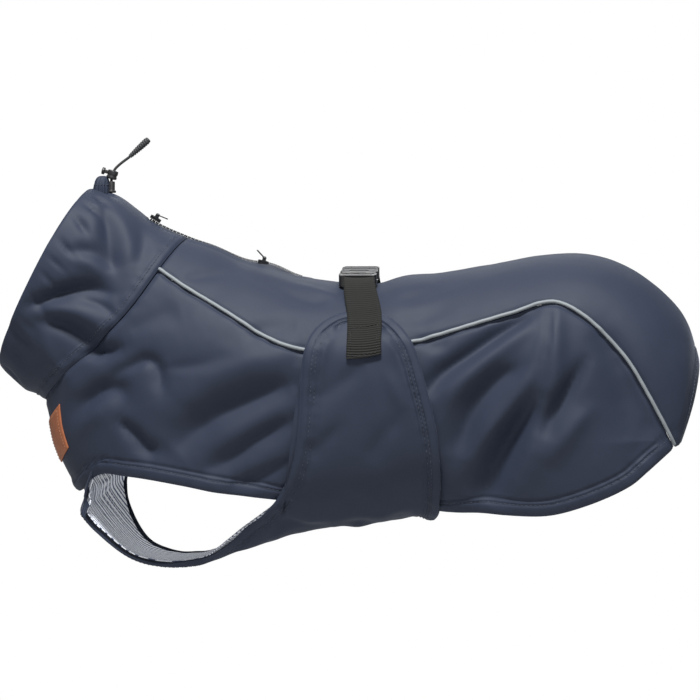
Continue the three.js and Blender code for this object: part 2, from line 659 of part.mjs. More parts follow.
function webbing(side) {
  const { length, y, z, tilt } = BUCKLE;
  const reach = length / 2 + SEAM_GAP;
  const mouth = { y: y + side * reach * Math.cos(tilt), z: z + side * reach * Math.sin(tilt) };
  const start = solve(0, 1.4, (turn) => bare(ringAtX(webbingX(0), turn), turn).y > side * mouth.y);
  const rows = Array.from({ length: WEBBING_STEPS + 1 }, (_, i) => mix(start, WEBBING_FOOT, i / WEBBING_STEPS));
  const ground = bare(ringAtX(webbingX(mouth.y), start), start);
  const startLift = Math.max(mouth.z - ground.z, 2) - WEBBING_THICKNESS / 2;
  return wall({
    rows: rows.length,
    columns: 4,
    face: (row, column, isOuter) => {
      const turn = rows[row];
      const middle = bare(ringAtX(webbingX(40), turn), turn);
      const x = webbingX(middle.y) + (column / 3 - 0.5) * WEBBING_WIDTH;
      const ring = ringAtX(x, turn);
      const point = bare(ring, turn);
      const seated = bellyLift(point) + CLOTH + WEBBING_GAP;
      const lift = mix(startLift, seated, smooth(row / WEBBING_STEPS, 0, 0.42));
      return skin(ring, side * turn, lift + (isOuter ? WEBBING_THICKNESS : 0), false);
    },
  });
}

// The buckle's own frame: y along its length towards the far side, z out of the back.
function buckleFrame() {
  const { y, z, tilt } = BUCKLE;
  return new THREE.Matrix4().makeRotationX(Math.asin(tilt)).setPosition(webbingX(0), y, z);
}

function roundedPlate(width, length, thickness, corner) {
  const shape = new THREE.Shape();
  const x = width / 2;
  const y = length / 2;
  shape.moveTo(-x + corner, -y);
  shape.lineTo(x - corner, -y);
  shape.absarc(x - corner, -y + corner, corner, -Math.PI / 2, 0);
  shape.lineTo(x, y - corner);
  shape.absarc(x - corner, y - corner, corner, 0, Math.PI / 2);
  shape.lineTo(-x + corner, y);
  shape.absarc(-x + corner, y - corner, corner, Math.PI / 2, Math.PI);
  shape.lineTo(-x, -y + corner);
  shape.absarc(-x + corner, -y + corner, corner, Math.PI, 1.5 * Math.PI);
  const plate = new THREE.ExtrudeGeometry(shape, { depth: thickness, bevelEnabled: false, curveSegments: 4 });
  return plate.translate(0, 0, -thickness / 2);
}

const SOCKET = { length: 26, corner: 3, wall: 1.5, side: 2, depth: 17, window: [5, 9], windowWall: 1.7 };
const PLUG = {
  step: 1, prongLength: 14.5, prongWidth: 5, middleWidth: 4, prongGap: 0.6, prongInset: 5.5, root: 0.75,
};
const STRAP_SLOT = { width: 3, edge: 5, pitch: 7, spare: 1 };

// A slot for the webbing, its middle at y along the buckle.
const strapSlot = (y) => (
  box(WEBBING_WIDTH + STRAP_SLOT.spare, STRAP_SLOT.width, 2 * BUCKLE.thickness, 0, y, 0));

function buckleSocket() {
  const { width, length, thickness } = BUCKLE;
  const { corner, wall: skinWall, side: sideWall, depth, window, windowWall } = SOCKET;
  const near = -length / 2;
  const middle = near + SOCKET.length / 2;
  const shell = toSolid(roundedPlate(width, SOCKET.length, thickness, corner), moved(0, middle, 0));
  const mouthAt = near + SOCKET.length - depth / 2 + 0.5;
  const mouth = box(width - 2 * sideWall, depth, thickness - 2 * skinWall, 0, mouthAt, 0);
  let socket = shell.subtract(mouth).subtract(strapSlot(near + STRAP_SLOT.edge));
  for (const side of [-1, 1]) {
    const windowAt = side * (width / 2 - 1.5);
    socket = socket.subtract(box(...window, thickness - 2 * windowWall, windowAt, middle + 2, 0));
  }
  return toGeometry(socket);
}

function bucklePlug() {
  const { width, length, thickness } = BUCKLE;
  const { step, prongLength, prongWidth, middleWidth, prongGap, prongInset, root } = PLUG;
  const from = -length / 2 + SOCKET.length + SEAM_GAP;
  const base = length / 2 - from;
  const prongThickness = thickness - 2 * SOCKET.wall - 2 * prongGap;
  let plug = toSolid(roundedPlate(width, base, thickness - step, SOCKET.corner), moved(0, from + base / 2, 0));
  for (const side of [-1, 0, 1]) {
    const prong = side === 0 ? middleWidth : prongWidth;
    const prongAt = side * (width / 2 - prongInset);
    plug = plug.add(box(prong, prongLength, prongThickness, prongAt, from + root - prongLength / 2, 0));
  }
  for (const back of [STRAP_SLOT.edge, STRAP_SLOT.edge + STRAP_SLOT.pitch]) {
    plug = plug.subtract(strapSlot(length / 2 - back));
  }
  return toGeometry(plug);
}

// The leather-look label on the chest

function label() {
  const steps = 6;
  const top = solve(0, CHEST_HEM, (ring) => bare(ring, Math.PI).z < LABEL.top);
  const rise = bare(top, Math.PI).distanceTo(bare(top + 0.1, Math.PI)) / 0.1;
  const rings = Array.from({ length: steps + 1 }, (_, i) => top + LABEL.length / rise * i / steps);
  return wall({
    rows: rings.length,
    columns: 5,
    face: (row, column, isOuter) => {
      const width = -LABEL.edge + LABEL.width * column / 4;
      const turn = Math.PI - keelTurnAtWidth(rings[row], width);
      return skin(rings[row], -turn, SEAM_GAP + (isOuter ? LABEL.thickness : 0));
    },
  });
}

// The drawcord's end at the nape: tab, eyelet, cord, lock and grip

const TAB = { width: 11, depth: 18, x: -190.7, z: 67.2, height: 10.1, slope: -0.3 };
const CORD_ROUTE = [
  [-182.3, 0, 65], [-182.3, 0, 69], [-182.3, 0, 73], [-182, 0, 76], [-181.3, 0, 79], [-180.2, 0, 82],
  [-178.1, 0, 84.7], [-175.2, 0, 87.1], [-172.2, 0, 89.3], [-169.6, 0, 91.2],
];
const EYELET = { x: -182.3, z: 66.2, height: 7.6 };
const LOCK = { at: [-181.2, 0, 79], radius: 3.9, height: 6.2, bore: 1.55, lean: 0.28 };
const GRIP = { length: 19, from: [-169.3, 0, 91.5], direction: [0.745, 0, 0.667], base: 1.5, widest: 2.6 };

function napeTab() {
  const { width, depth, height, slope } = TAB;
  const half = width / 2;
  const profile = new THREE.Shape();
  profile.moveTo(-half, -half * slope);
  profile.lineTo(half, half * slope);
  profile.lineTo(half, height - half);
  profile.absarc(0, height - half, half, 0, Math.PI);
  profile.lineTo(-half, -half * slope);
  const block = new THREE.ExtrudeGeometry(profile, { depth, bevelEnabled: false, curveSegments: 8 });
  return block.rotateX(Math.PI / 2).translate(0, depth / 2, 0);
}

function eyelet() {
  const { height } = EYELET;
  const outline = [[1.4, 0], [2.9, 0], [2.9, 0.8], [2.3, 1.2], [2.1, height], [1.4, height], [1.4, 0]];
  return new THREE.LatheGeometry(outline.map(([r, h]) => new THREE.Vector2(r, h)), 12).rotateX(Math.PI / 2);
}

function drawcord() {
  const route = new THREE.CatmullRomCurve3(CORD_ROUTE.map((point) => new THREE.Vector3(...point)));
  const section = new THREE.Shape();
  section.absarc(0, 0, DRAWCORD_DIAMETER / 2, 0, 2 * Math.PI);
  const along = { steps: 10, curveSegments: 4, bevelEnabled: false, extrudePath: route };
  return new THREE.ExtrudeGeometry(section, along);
}

function cordLock() {
  const { radius, height, bore } = LOCK;
  const outline = [[bore, -height / 2], [radius - 1.2, -height / 2], [radius, -height / 2 + 2],
    [radius, height / 2 - 1], [radius - 0.8, height / 2], [bore, height / 2], [bore, -height / 2]];
  const points = outline.map(([r, h]) => new THREE.Vector2(r, h));
  const bell = new THREE.LatheGeometry(points, 16).rotateX(Math.PI / 2);
  const socket = box(4, 3.4, 3.4, -radius, 0, 1);
  return toGeometry(toSolid(bell).subtract(socket));
}

function lockPlunger() {
  const stem = box(3.2, 2.6, 2.6, 0, 0, 0);
  const headPlace = new THREE.Matrix4().makeRotationZ(Math.PI / 2).setPosition(-2.3, 0, 0);
  const head = toSolid(new THREE.CylinderGeometry(2.6, 2.2, 1.8, 12), headPlace);
  return toGeometry(stem.add(head));
}

function cordGrip() {
  const { length, base, widest } = GRIP;
  const outline = [[0, 0], [base, 0], [base, 2], [widest - 0.5, length * 0.4], [widest, length * 0.75],
    [widest - 0.3, length - 1], [widest - 1.2, length], [0, length]];
  return new THREE.LatheGeometry(outline.map(([r, h]) => new THREE.Vector2(r, h)), 12).rotateX(Math.PI / 2);
}

// The coat, moved up so that the underside of the back is at the origin, under the buckle

const backUnderside = skin(ringAtX(0, 0), 0, -CLOTH).z;
const coat = new THREE.Group();
coat.position.set(0, 0, -backUnderside);

function place(name, geometry, material, matrix = new THREE.Matrix4()) {
  const mesh = new THREE.Mesh(geometry, material);
  mesh.name = name;
  matrix.decompose(mesh.position, mesh.quaternion, mesh.scale);
  coat.add(mesh);
  return mesh;
}

const sides = [{ name: 'near', sign: -1 }, { name: 'far', sign: 1 }];

place('back_panel', backPanel(), INK.navy);
for (const { name, sign } of sides) {
  for (const [part, rings] of Object.entries(SIDE_LENGTHS)) {
    place(`side_panel_${name}_${part}`, sidePanel(sign, rings), INK.navy);
  }
  place(`piping_${name}`, piping(sign), INK.piping);
  place(`webbing_${name}`, webbing(sign), INK.webbing);
}
place('collar', collar(), INK.navy);
place('belly_panel', bellyPanel(), INK.navy);
place('belly_lining', bellyLining(), INK.lining);
place('label', label(), INK.leather);
place('zip_chain', zipChain(), INK.plastic);
for (const { name, ring, rest } of SLIDERS) {
  const frame = sliderFrame(ring);
  place(`zip_slider_${name}`, sliderBody(), INK.metal, frame);
  const barPlace = frame.clone().multiply(moved(0, 0, SLIDER.height + SLIDER.bar));
  place(`zip_pull_${name}`, pullTab(rest), INK.metal, barPlace);
}
place('buckle_socket', buckleSocket(), INK.plastic, buckleFrame());
place('buckle_plug', bucklePlug(), INK.plastic, buckleFrame());
place('nape_tab', napeTab(), INK.navy, moved(TAB.x, 0, TAB.z));
place('cord_eyelet', eyelet(), INK.plastic, moved(EYELET.x, 0, EYELET.z));
place('drawcord', drawcord(), INK.cord);
const lockFrame = new THREE.Matrix4().makeRotationY(LOCK.lean).setPosition(...LOCK.at);
place('cord_lock', cordLock(), INK.plastic, lockFrame);
const plungerPlace = lockFrame.clone().multiply(moved(-LOCK.radius - 0.9, 0, 1));
place('cord_lock_plunger', lockPlunger(), INK.plastic, plungerPlace);
const gripTurn = new THREE.Quaternion().setFromUnitVectors(new THREE.Vector3(0, 0, 1),
  new THREE.Vector3(...GRIP.direction).normalize());
place('cord_grip', cordGrip(), INK.plastic, new THREE.Matrix4().makeRotationFromQuaternion(gripTurn)
  .setPosition(...GRIP.from));

export default coat;
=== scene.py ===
# A rain coat for a dog, filled out as when worn, dressed round its frame: head towards -X, near side -Y.
# Sizes and places are in millimetres in the coat's own cut, and turn into metres when a mesh is made.
import json
import math

import bmesh
import bpy
import numpy as np
from mathutils import Matrix, Vector, kdtree
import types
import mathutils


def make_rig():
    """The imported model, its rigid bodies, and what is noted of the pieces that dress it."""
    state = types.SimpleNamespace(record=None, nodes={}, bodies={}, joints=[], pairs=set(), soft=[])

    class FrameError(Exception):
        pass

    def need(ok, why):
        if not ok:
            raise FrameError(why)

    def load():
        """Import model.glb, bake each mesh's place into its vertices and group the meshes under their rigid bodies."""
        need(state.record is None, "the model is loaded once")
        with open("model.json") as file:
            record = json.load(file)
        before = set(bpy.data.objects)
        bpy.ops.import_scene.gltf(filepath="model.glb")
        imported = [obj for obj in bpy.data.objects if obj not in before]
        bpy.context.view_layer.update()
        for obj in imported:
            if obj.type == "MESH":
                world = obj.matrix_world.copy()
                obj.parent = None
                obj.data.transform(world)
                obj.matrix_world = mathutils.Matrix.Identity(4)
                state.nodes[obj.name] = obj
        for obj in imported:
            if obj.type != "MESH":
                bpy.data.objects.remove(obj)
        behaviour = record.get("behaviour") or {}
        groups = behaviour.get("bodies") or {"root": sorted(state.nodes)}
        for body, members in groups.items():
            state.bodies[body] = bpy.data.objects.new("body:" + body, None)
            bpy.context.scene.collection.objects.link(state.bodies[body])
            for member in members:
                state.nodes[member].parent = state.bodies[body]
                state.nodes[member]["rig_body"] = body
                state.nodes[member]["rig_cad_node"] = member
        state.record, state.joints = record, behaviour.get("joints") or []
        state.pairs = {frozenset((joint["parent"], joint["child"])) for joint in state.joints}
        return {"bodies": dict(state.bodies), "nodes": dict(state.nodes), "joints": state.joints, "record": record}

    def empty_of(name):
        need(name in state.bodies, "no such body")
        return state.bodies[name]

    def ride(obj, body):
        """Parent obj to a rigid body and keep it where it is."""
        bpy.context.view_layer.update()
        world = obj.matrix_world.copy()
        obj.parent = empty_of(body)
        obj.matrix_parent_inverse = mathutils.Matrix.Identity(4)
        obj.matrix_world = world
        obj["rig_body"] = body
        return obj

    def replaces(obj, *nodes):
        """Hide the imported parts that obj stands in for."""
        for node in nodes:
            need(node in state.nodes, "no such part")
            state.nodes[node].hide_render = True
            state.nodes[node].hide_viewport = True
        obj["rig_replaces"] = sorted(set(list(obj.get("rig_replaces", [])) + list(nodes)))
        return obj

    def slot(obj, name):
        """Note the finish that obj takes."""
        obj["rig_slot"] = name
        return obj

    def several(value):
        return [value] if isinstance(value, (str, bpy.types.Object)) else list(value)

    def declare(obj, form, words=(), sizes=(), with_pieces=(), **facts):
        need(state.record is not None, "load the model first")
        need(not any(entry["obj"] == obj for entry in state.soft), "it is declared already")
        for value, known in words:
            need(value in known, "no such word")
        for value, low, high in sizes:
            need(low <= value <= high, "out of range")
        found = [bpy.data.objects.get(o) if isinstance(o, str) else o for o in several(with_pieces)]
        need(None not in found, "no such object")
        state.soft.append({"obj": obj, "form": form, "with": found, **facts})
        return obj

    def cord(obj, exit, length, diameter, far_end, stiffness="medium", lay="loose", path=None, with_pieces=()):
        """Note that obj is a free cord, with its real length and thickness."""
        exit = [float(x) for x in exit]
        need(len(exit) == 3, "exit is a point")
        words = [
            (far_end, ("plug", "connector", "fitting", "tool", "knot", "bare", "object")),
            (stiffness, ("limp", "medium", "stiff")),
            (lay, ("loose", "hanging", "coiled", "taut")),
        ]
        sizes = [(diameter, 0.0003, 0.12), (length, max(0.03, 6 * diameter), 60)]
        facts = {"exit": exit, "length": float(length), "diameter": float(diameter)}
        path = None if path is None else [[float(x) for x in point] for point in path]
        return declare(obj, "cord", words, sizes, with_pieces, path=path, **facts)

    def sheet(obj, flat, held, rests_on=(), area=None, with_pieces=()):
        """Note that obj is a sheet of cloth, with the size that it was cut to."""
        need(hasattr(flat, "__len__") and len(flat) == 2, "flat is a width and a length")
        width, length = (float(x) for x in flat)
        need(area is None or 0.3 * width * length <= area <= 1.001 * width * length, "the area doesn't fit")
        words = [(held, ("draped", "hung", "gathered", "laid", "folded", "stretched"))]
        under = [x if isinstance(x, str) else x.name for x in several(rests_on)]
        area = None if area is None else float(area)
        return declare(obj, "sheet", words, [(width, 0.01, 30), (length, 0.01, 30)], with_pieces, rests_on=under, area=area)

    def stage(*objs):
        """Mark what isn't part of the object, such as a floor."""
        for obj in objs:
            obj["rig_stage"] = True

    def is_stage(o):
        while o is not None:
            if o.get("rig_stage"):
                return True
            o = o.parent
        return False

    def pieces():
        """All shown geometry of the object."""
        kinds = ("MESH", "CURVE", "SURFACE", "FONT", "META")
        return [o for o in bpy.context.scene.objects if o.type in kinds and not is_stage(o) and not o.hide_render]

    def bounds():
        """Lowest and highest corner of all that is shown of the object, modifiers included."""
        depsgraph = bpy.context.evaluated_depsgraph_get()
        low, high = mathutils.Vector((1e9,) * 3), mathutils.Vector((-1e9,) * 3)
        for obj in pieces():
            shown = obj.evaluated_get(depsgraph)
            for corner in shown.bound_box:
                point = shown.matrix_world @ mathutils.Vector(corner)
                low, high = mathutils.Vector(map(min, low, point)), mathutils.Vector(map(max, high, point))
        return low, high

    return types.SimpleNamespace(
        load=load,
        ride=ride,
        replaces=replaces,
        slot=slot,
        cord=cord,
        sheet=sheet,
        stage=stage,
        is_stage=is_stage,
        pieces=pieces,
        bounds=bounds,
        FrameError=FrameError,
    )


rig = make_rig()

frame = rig.load()
FRAME_BOX = [list(corner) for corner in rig.bounds()]

MM = 0.001
COAT = "coat"

# Driving sizes of the cloth and trims
CLOTH = 1.2
PIPING_RADIUS = 1.3
PIPING_RISE = 0.2
ZIP_SLIT = 4.4
WEBBING = {"width": 25, "thickness": 1.5, "gap": 0.5, "rib": 1.7, "foot": 1.275}
HEM = {"width": 9.6, "rise": 0.6, "stitch": 8.3}
COLLAR_BAND = 7
FLAP_LIFT = 1.5
PIPING_BUMP = 3.1
STRIP_DEPTH = 4.4
LINING_GAP = 2.3
LABEL = {"length": 34, "width": 24, "thickness": 1, "top": -103, "edge": 11}
BUCKLE = {"length": 47, "width": 27, "thickness": 8.2, "x": 0, "y": -6.5, "z": 3.4, "tilt": 0.168}
SADDLE = {"x": 1.6, "y": -6, "along": 24, "across": 28, "depth": -1.5}

CAMERA = {
    "distance": 1500, "azimuth": 4, "elevation": 1, "target": (-7.3, -50.4), "pixel": 0.73, "frame": 700,
}

# Rings from the collar's mouth to the rear hem: ridge and keel points in the side view, half width,
# how far below the ridge it is widest, roundness above and below that, and bow towards the tail.
RING_FIELDS = ("ridge_x", "ridge_z", "keel_x", "keel_z", "half", "arch", "top", "low", "bow")
RINGS = [
    (-198, 68.5, -265, -62, 52, 70, 2.0, 2.1, 0),
    (-176, 62, -259, -69, 52, 70, 2.0, 2.1, 1),
    (-152, 44, -247, -80, 51, 70, 1.9, 2.1, 4),
    (-126, 32, -232, -88, 53, 70, 1.85, 2.1, 9),
    (-106, 25, -223, -122, 59, 76, 1.85, 2.2, 5),
    (-84, 15, -208, -152, 65, 79, 1.85, 2.3, 1),
    (-66, 10, -188, -180, 70, 79, 1.9, 2.4, 0),
    (-48, 4, -162, -202, 74, 79, 1.95, 2.5, 0),
    (-31, 1, -125, -206, 76, 79, 2.0, 2.6, 0),
    (-16, 0, -88, -195, 76, 79, 2.0, 2.6, 0),
    (-1, -1.5, -51, -182, 76, 79, 2.0, 2.6, 0),
    (15, -0.5, -15, -176, 76, 79, 2.0, 2.6, 0),
    (33, 4, 18, -172, 77, 79, 2.0, 2.6, 0),
    (58, 6, 53, -169, 79, 79, 2.0, 2.6, 0),
    (95, 12, 93, -203, 81, 82, 2.05, 2.6, 0),
    (134, 19, 137, -232, 83, 85, 2.1, 2.6, 0),
    (167, 19, 167, -235, 83, 85, 2.1, 2.6, 0),
    (196, 9, 185, -231, 82, 82, 2.1, 2.6, 0),
    (219, -8, 196, -228, 78, 78, 2.1, 2.5, 1),
    (235, -28, 203, -224, 71, 70, 2.1, 2.4, 2),
    (244, -56, 192, -196, 61, 60, 2.1, 2.3, 4),
]
MOUTH = -3
SIDE_END = 15.85
REAR = 17
CHEST_HEM = 2
ZIP_TOP = -1.15
ZIP_FOOT = 4.45

# Side view lines, head to tail, as x and z.
PIPING_LINE = [
    (-144, 10), (-121, -5), (-95, -20), (-55, -43), (-34, -49), (-3, -50.5), (25, -47), (67, -36), (112, -22),
    (129, -16.5), (143, -16.5), (160, -25.5), (177, -40), (191, -57), (204, -80), (213, -97), (221.5, -114),
]
HEM_LINE = [
    (-209, -153), (-201, -152), (-191, -143), (-180, -138), (-165, -139), (-146, -141), (-121, -145),
    (-95, -150), (-53, -155), (-4, -161), (57, -163.5), (106, -164), (131, -164), (147, -161), (171, -152.5),
    (192, -142), (204, -132), (214, -123), (221.5, -116.5), (227, -113), (234, -106), (241, -90), (246, -70),
]
# The chest strip: keel x, half width, and how far its edges trail behind.
CHEST_STRIP = [
    (-213, 52, 0.3), (-207, 50, 0.25), (-199, 46, 0.15), (-190, 41, 0.05), (-178, 36, 0), (-162, 31, 0),
    (-145, 28, 0), (-128, 26, 0), (-112, 26, 0),
]
# The belly and its side flaps: keel x, the flap's edge point in the side view, and bow towards the tail.
FLAP_COLUMNS = [
    (-98, -90, -184, 0), (-86, -66, -165, 0),
    (-74, -50, -146, 0), (-64, -41, -124, 0), (-56, -37, -100, 0.02),
    (-49, -36, -75, 0.04), (-42, -34, -51, 0.04),
    (-32, -27, -36, 0.04), (-18, -15, -27, 0.02), (-4, -3, -24, 0),
    (10, 9, -23.5, 0), (22, 21, -26, 0.04), (33, 31, -32.5, 0.12),
    (43, 40, -43, 0.2), (48, 43.5, -49.5, 0.27),
    (53, 46.5, -57, 0.34),
]

# Folds in the cloth, in the side view: path, half width, depth with ridges positive, and crispness.
FOLDS = [
    (((124, -23), (104, -34), (82, -50), (62, -65), (49, -82)), 6.5, -8, 0.3),
    (((120, -36), (92, -56), (71, -75), (55, -92)), 7, 3.6, 0.1),
    (((114, -61), (99, -70), (84, -88), (77, -108), (72, -124)), 9, -7.5, 0.3),
    (((134, -34), (126, -60), (107, -90), (90, -110), (79, -130)), 8, 5, 0.3),
    (((127, -84), (115, -101), (105, -118), (96, -136), (88, -156)), 11.5, -13, 0.3),
    (((137, -20), (135.5, -32), (133, -48), (126, -65)), 2.6, -2.6, 0.6),
    (((140, -24), (140, -48), (138, -70), (133, -84), (116, -140)), 8, 5.5, 0.3),
    (((160, -56), (147, -78), (137, -94), (130, -110)), 6, -6.5, 0.35),
    (((162, -90), (146, -108), (132, -128)), 8.5, 4.5, 0.3),
    (((170, -34), (182, -58), (190, -84), (192, -112)), 14, -7, 0),
    (((205, -96), (199, -118), (186, -138)), 9, -1.6, 0),
    (((44, -40), (56, -46), (66, -42)), 5, -2, 0.2),
    (((-44, -73), (-70, -83), (-95, -94), (-112, -106), (-127, -120)), 11.5, -9.5, 0.25),
    (((-44, -99), (-66, -112), (-87, -126), (-106, -134)), 9, -7.5, 0.3),
    (((-46, -128), (-68, -140), (-88, -146)), 6, -4, 0.3),
    (((-42, -53), (-75, -59), (-104, -71), (-122, -88)), 11, 3.2, 0),
    (((-197, -53), (-180, -51), (-163, -47)), 4.6, -5, 0.5),
    (((-173, -67), (-158, -60), (-147, -56), (-139, -62), (-135, -80)), 5, -4.6, 0.4),
    (((-206, -102), (-197, -89), (-184, -79), (-171, -77), (-161, -84)), 8, -8.5, 0.3),
    (((-200, -112), (-190, -100), (-177, -93)), 6, 2.6, 0.2),
    (((-167, -100), (-156, -110), (-148, -119), (-138, -121)), 6, -6, 0.35),
    (((-160, -36), (-142, -27), (-124, -21)), 7, -2, 0.1),
    (((-132, -62), (-110, -60), (-82, -54)), 5, -1.6, 0.2),
    (((-122, 2), (-106, 4), (-88, 7)), 5, -1.6, 0.2),
    (((-76, -37), (-58, -34), (-40, -32)), 6, -1.8, 0.1),
    (((-80, 10), (-68, 6.5), (-42, -2.5), (-16, -11)), 2.3, 1.9, 0.6),
    (((-78, 4), (-46, -9), (-18, -18)), 4.5, -1.5, 0.2),
    (((30, -14), (44, -11), (62, -4)), 5, -1.5, 0.2),
    (((28, -28), (46, -27), (70, -17)), 6, -1.4, 0.1),
    (((-20, -14), (-36, -15), (-52, -11)), 5, -1.4, 0.1),
    (((-184, 56), (-179, 40), (-176, 24), (-172, 6)), 6, -4.5, 0.4),
    (((-171, 50), (-165, 30), (-162, 12)), 6, 2, 0.1),
    (((-156, 42), (-154, 24), (-156, 10)), 5, -2, 0.1),
    (((-232, -18), (-218, -13), (-202, -8), (-188, -6), (-172, -9)), 7, -8.5, 0.45),
    (((-222, -20), (-204, -22), (-186, -28), (-174, -34)), 7, 3.5, 0.2),
    (((-226, -30), (-208, -33), (-192, -44), (-180, -52)), 7.5, -7, 0.4),
    (((-197, -14), (-184, -17), (-172, -24)), 4, -3, 0.5),
    (((-203, 22), (-186, 20), (-172, 10)), 5.5, -3.4, 0.35),
    (((-200, 14), (-188, 10), (-180, 4)), 4.5, 1.6, 0.2),
    (((-214, -58), (-206, -72), (-203, -84)), 8, 2, 0),
    (((-252, -30), (-244, -45), (-238, -62)), 6, -2, 0.2),
    (((-226, -40), (-218, -56), (-216, -66)), 7, 1.8, 0.1),
]
FLAP_FOLDS = [
    (((-14, -38), (-24, -52), (-31, -70)), 5, 1.3, 0.3),
    (((-8, -44), (-16, -62), (-22, -84)), 7, -1.2, 0.1),
    (((24, -38), (34, -54), (40, -76)), 5, 1.2, 0.3),
    (((18, -56), (26, -80), (30, -106)), 8, -1.1, 0.1),
    (((4, -66), (2, -96), (6, -130)), 12, -1.4, 0),
    (((9, -60), (-12, -75), (-28, -87)), 7, -2.2, 0.2),
    (((-9, -102), (-22, -115), (-32, -124)), 6, -2, 0.2),
    (((31, -98), (20, -111), (11, -126)), 6.5, -2, 0.2),
    (((20, -62), (30, -78), (36, -92)), 6, 1.4, 0.1),
    (((-58, -150), (-48, -162), (-30, -170)), 5, 1.6, 0.3),
    (((-66, -158), (-50, -170), (-28, -177)), 5, -1.5, 0.3),
]
FAR_FOLDS = {"shift": (7, -4), "strength": 0.85}

# The visible end of the drawcord, from its exit out of the eyelet to the grip.
CORD_ROUTE = [
    (-183.2, 0, 65), (-183.2, 0, 69), (-183.1, 0, 73), (-182.8, 0, 76), (-182, 0, 79), (-180.6, 0, 82),
    (-178.1, 0, 84.7), (-175.2, 0, 87.1), (-172.2, 0, 89.3), (-169.6, 0, 91.2),
]
CORD = {"radius": 1, "sides": 12, "length": 0.0315}
TAB = {"width": 11, "depth": 18, "x": -190.7, "z": 67.2, "height": 10.1}
LOCK = {"at": (-182.4, 0, 78.2), "radius": 3.9, "height": 6.2, "bore": 1.4, "lean": 0.28}
GRIP = {"length": 19, "from": (-169.3, 0, 91.5), "direction": (0.745, 0, 0.667), "ribs": 9}
SLIDER = {"length": 8, "width": 6.4, "height": 2.4, "lift": 1.2, "bar": 1.9}
SLIDERS = (
    {"name": "nape", "ring": -0.98, "rest": 0.15},
    {"name": "withers", "ring": 2.7, "rest": 2.55},
)


# Smooth curves and the ring family

def smooth(value, low, high):
    t = np.clip((value - low) / (high - low), 0, 1)
    return t * t * (3 - 2 * t)


def unit(vectors):
    return vectors / np.maximum(np.linalg.norm(vectors, axis=-1, keepdims=True), 1e-9)


def spline(values, at):
    values = np.asarray(values, float)
    at = np.asarray(at, float)
    last = len(values) - 1
    ends = np.concatenate([[2 * values[0] - values[1]], values, [2 * values[-1] - values[-2]]])
    i = np.clip(np.floor(at), 0, last - 1).astype(int)
    t = at - i
    before, start, end, after = ends[i], ends[i + 1], ends[i + 2], ends[i + 3]
    slope_in = (end - before) / 2
    slope_out = (after - start) / 2
    rise = end - start
    inside = (start + slope_in * t + (3 * rise - 2 * slope_in - slope_out) * t ** 2
              + (slope_in + slope_out - 2 * rise) * t ** 3)
    return np.where(t < 0, start + slope_in * t, np.where(t > 1, end + slope_out * (t - 1), inside))


def height_line(points):
    x, z = np.array(points, float).T
    last = len(x) - 1
    ahead = np.minimum(np.arange(last + 1) + 1, last)
    behind = np.maximum(np.arange(last + 1) - 1, 0)
    slope = (z[ahead] - z[behind]) / (x[ahead] - x[behind])

    def height(at):
        at = np.asarray(at, float)
        i = np.clip(np.searchsorted(x, at, side="right") - 1, 0, last - 1)
        run = x[i + 1] - x[i]
        t = (at - x[i]) / run
        rise = z[i + 1] - z[i]
        a, b = slope[i] * run, slope[i + 1] * run
        inside = z[i] + a * t + (3 * rise - 2 * a - b) * t ** 2 + (a + b - 2 * rise) * t ** 3
        return np.where(t < 0, z[i] + a * t, np.where(t > 1, z[i + 1] + b * (t - 1), inside))

    return height


piping_height = height_line(PIPING_LINE)
hem_height = height_line(HEM_LINE)
flap_front = height_line([(z, x) for keel, x, z, bow in FLAP_COLUMNS if keel < 0])
RING_TABLE = {name: np.array([row[i] for row in RINGS], float) for i, name in enumerate(RING_FIELDS)}


def ring_at(ring):
    return {name: spline(values, np.asarray(ring, float) - MOUTH) for name, values in RING_TABLE.items()}


def bare(ring, turn):
    r = ring_at(ring)
    down_x, down_z = r["keel_x"] - r["ridge_x"], r["keel_z"] - r["ridge_z"]
    length = np.hypot(down_x, down_z)
    down_x, down_z = down_x / length, down_z / length
    cos, sin = np.cos(turn), np.sin(turn)
    depth = np.where(cos > 0, r["arch"], length - r["arch"])
    power = np.where(cos > 0, r["top"], r["low"])
    reach = (np.abs(cos) / depth) ** power + (np.abs(sin) / r["half"]) ** power
    radius = reach ** (-1 / power)
    fall = r["arch"] - radius * cos
    lean = r["bow"] * sin * sin
    x = r["ridge_x"] + down_x * fall - down_z * lean
    z = r["ridge_z"] + down_z * fall + down_x * lean
    return np.stack(np.broadcast_arrays(x, radius * sin, z), -1)


def outward(ring, turn, step=0.02):
    along = bare(ring + step, turn) - bare(ring - step, turn)
    around = bare(ring, turn + step) - bare(ring, turn - step)
    return unit(np.cross(along, around))


def solve(low, high, is_past):
    low, high = np.array(low, float), np.array(high, float)
    for _ in range(40):
        middle = (low + high) / 2
        past = is_past(middle)
        low, high = np.where(past, low, middle), np.where(past, middle, high)
    return (low + high) / 2


def turn_at_line(ring, line):
    ring = np.asarray(ring, float)
    return solve(np.zeros(ring.shape), np.full(ring.shape, math.pi),
                 lambda turn: bare(ring, turn)[..., 2] < line(bare(ring, turn)[..., 0]))


def turn_at_width(ring, width):
    ring = np.asarray(ring, float)
    return solve(np.zeros(ring.shape), np.ones(ring.shape), lambda turn: bare(ring, turn)[..., 1] > width)


def keel_turn_at_width(ring, width):
    ring, width = np.broadcast_arrays(np.asarray(ring, float), np.asarray(width, float))
    return solve(np.zeros(ring.shape), np.ones(ring.shape),
                 lambda turn: bare(ring, math.pi - turn)[..., 1] > width)


def ring_at_x(x, turn):
    x, turn = np.broadcast_arrays(np.asarray(x, float), np.asarray(turn, float))
    return solve(np.full(x.shape, -2.0), np.full(x.shape, float(REAR)),
                 lambda ring: bare(ring, turn)[..., 0] > x)


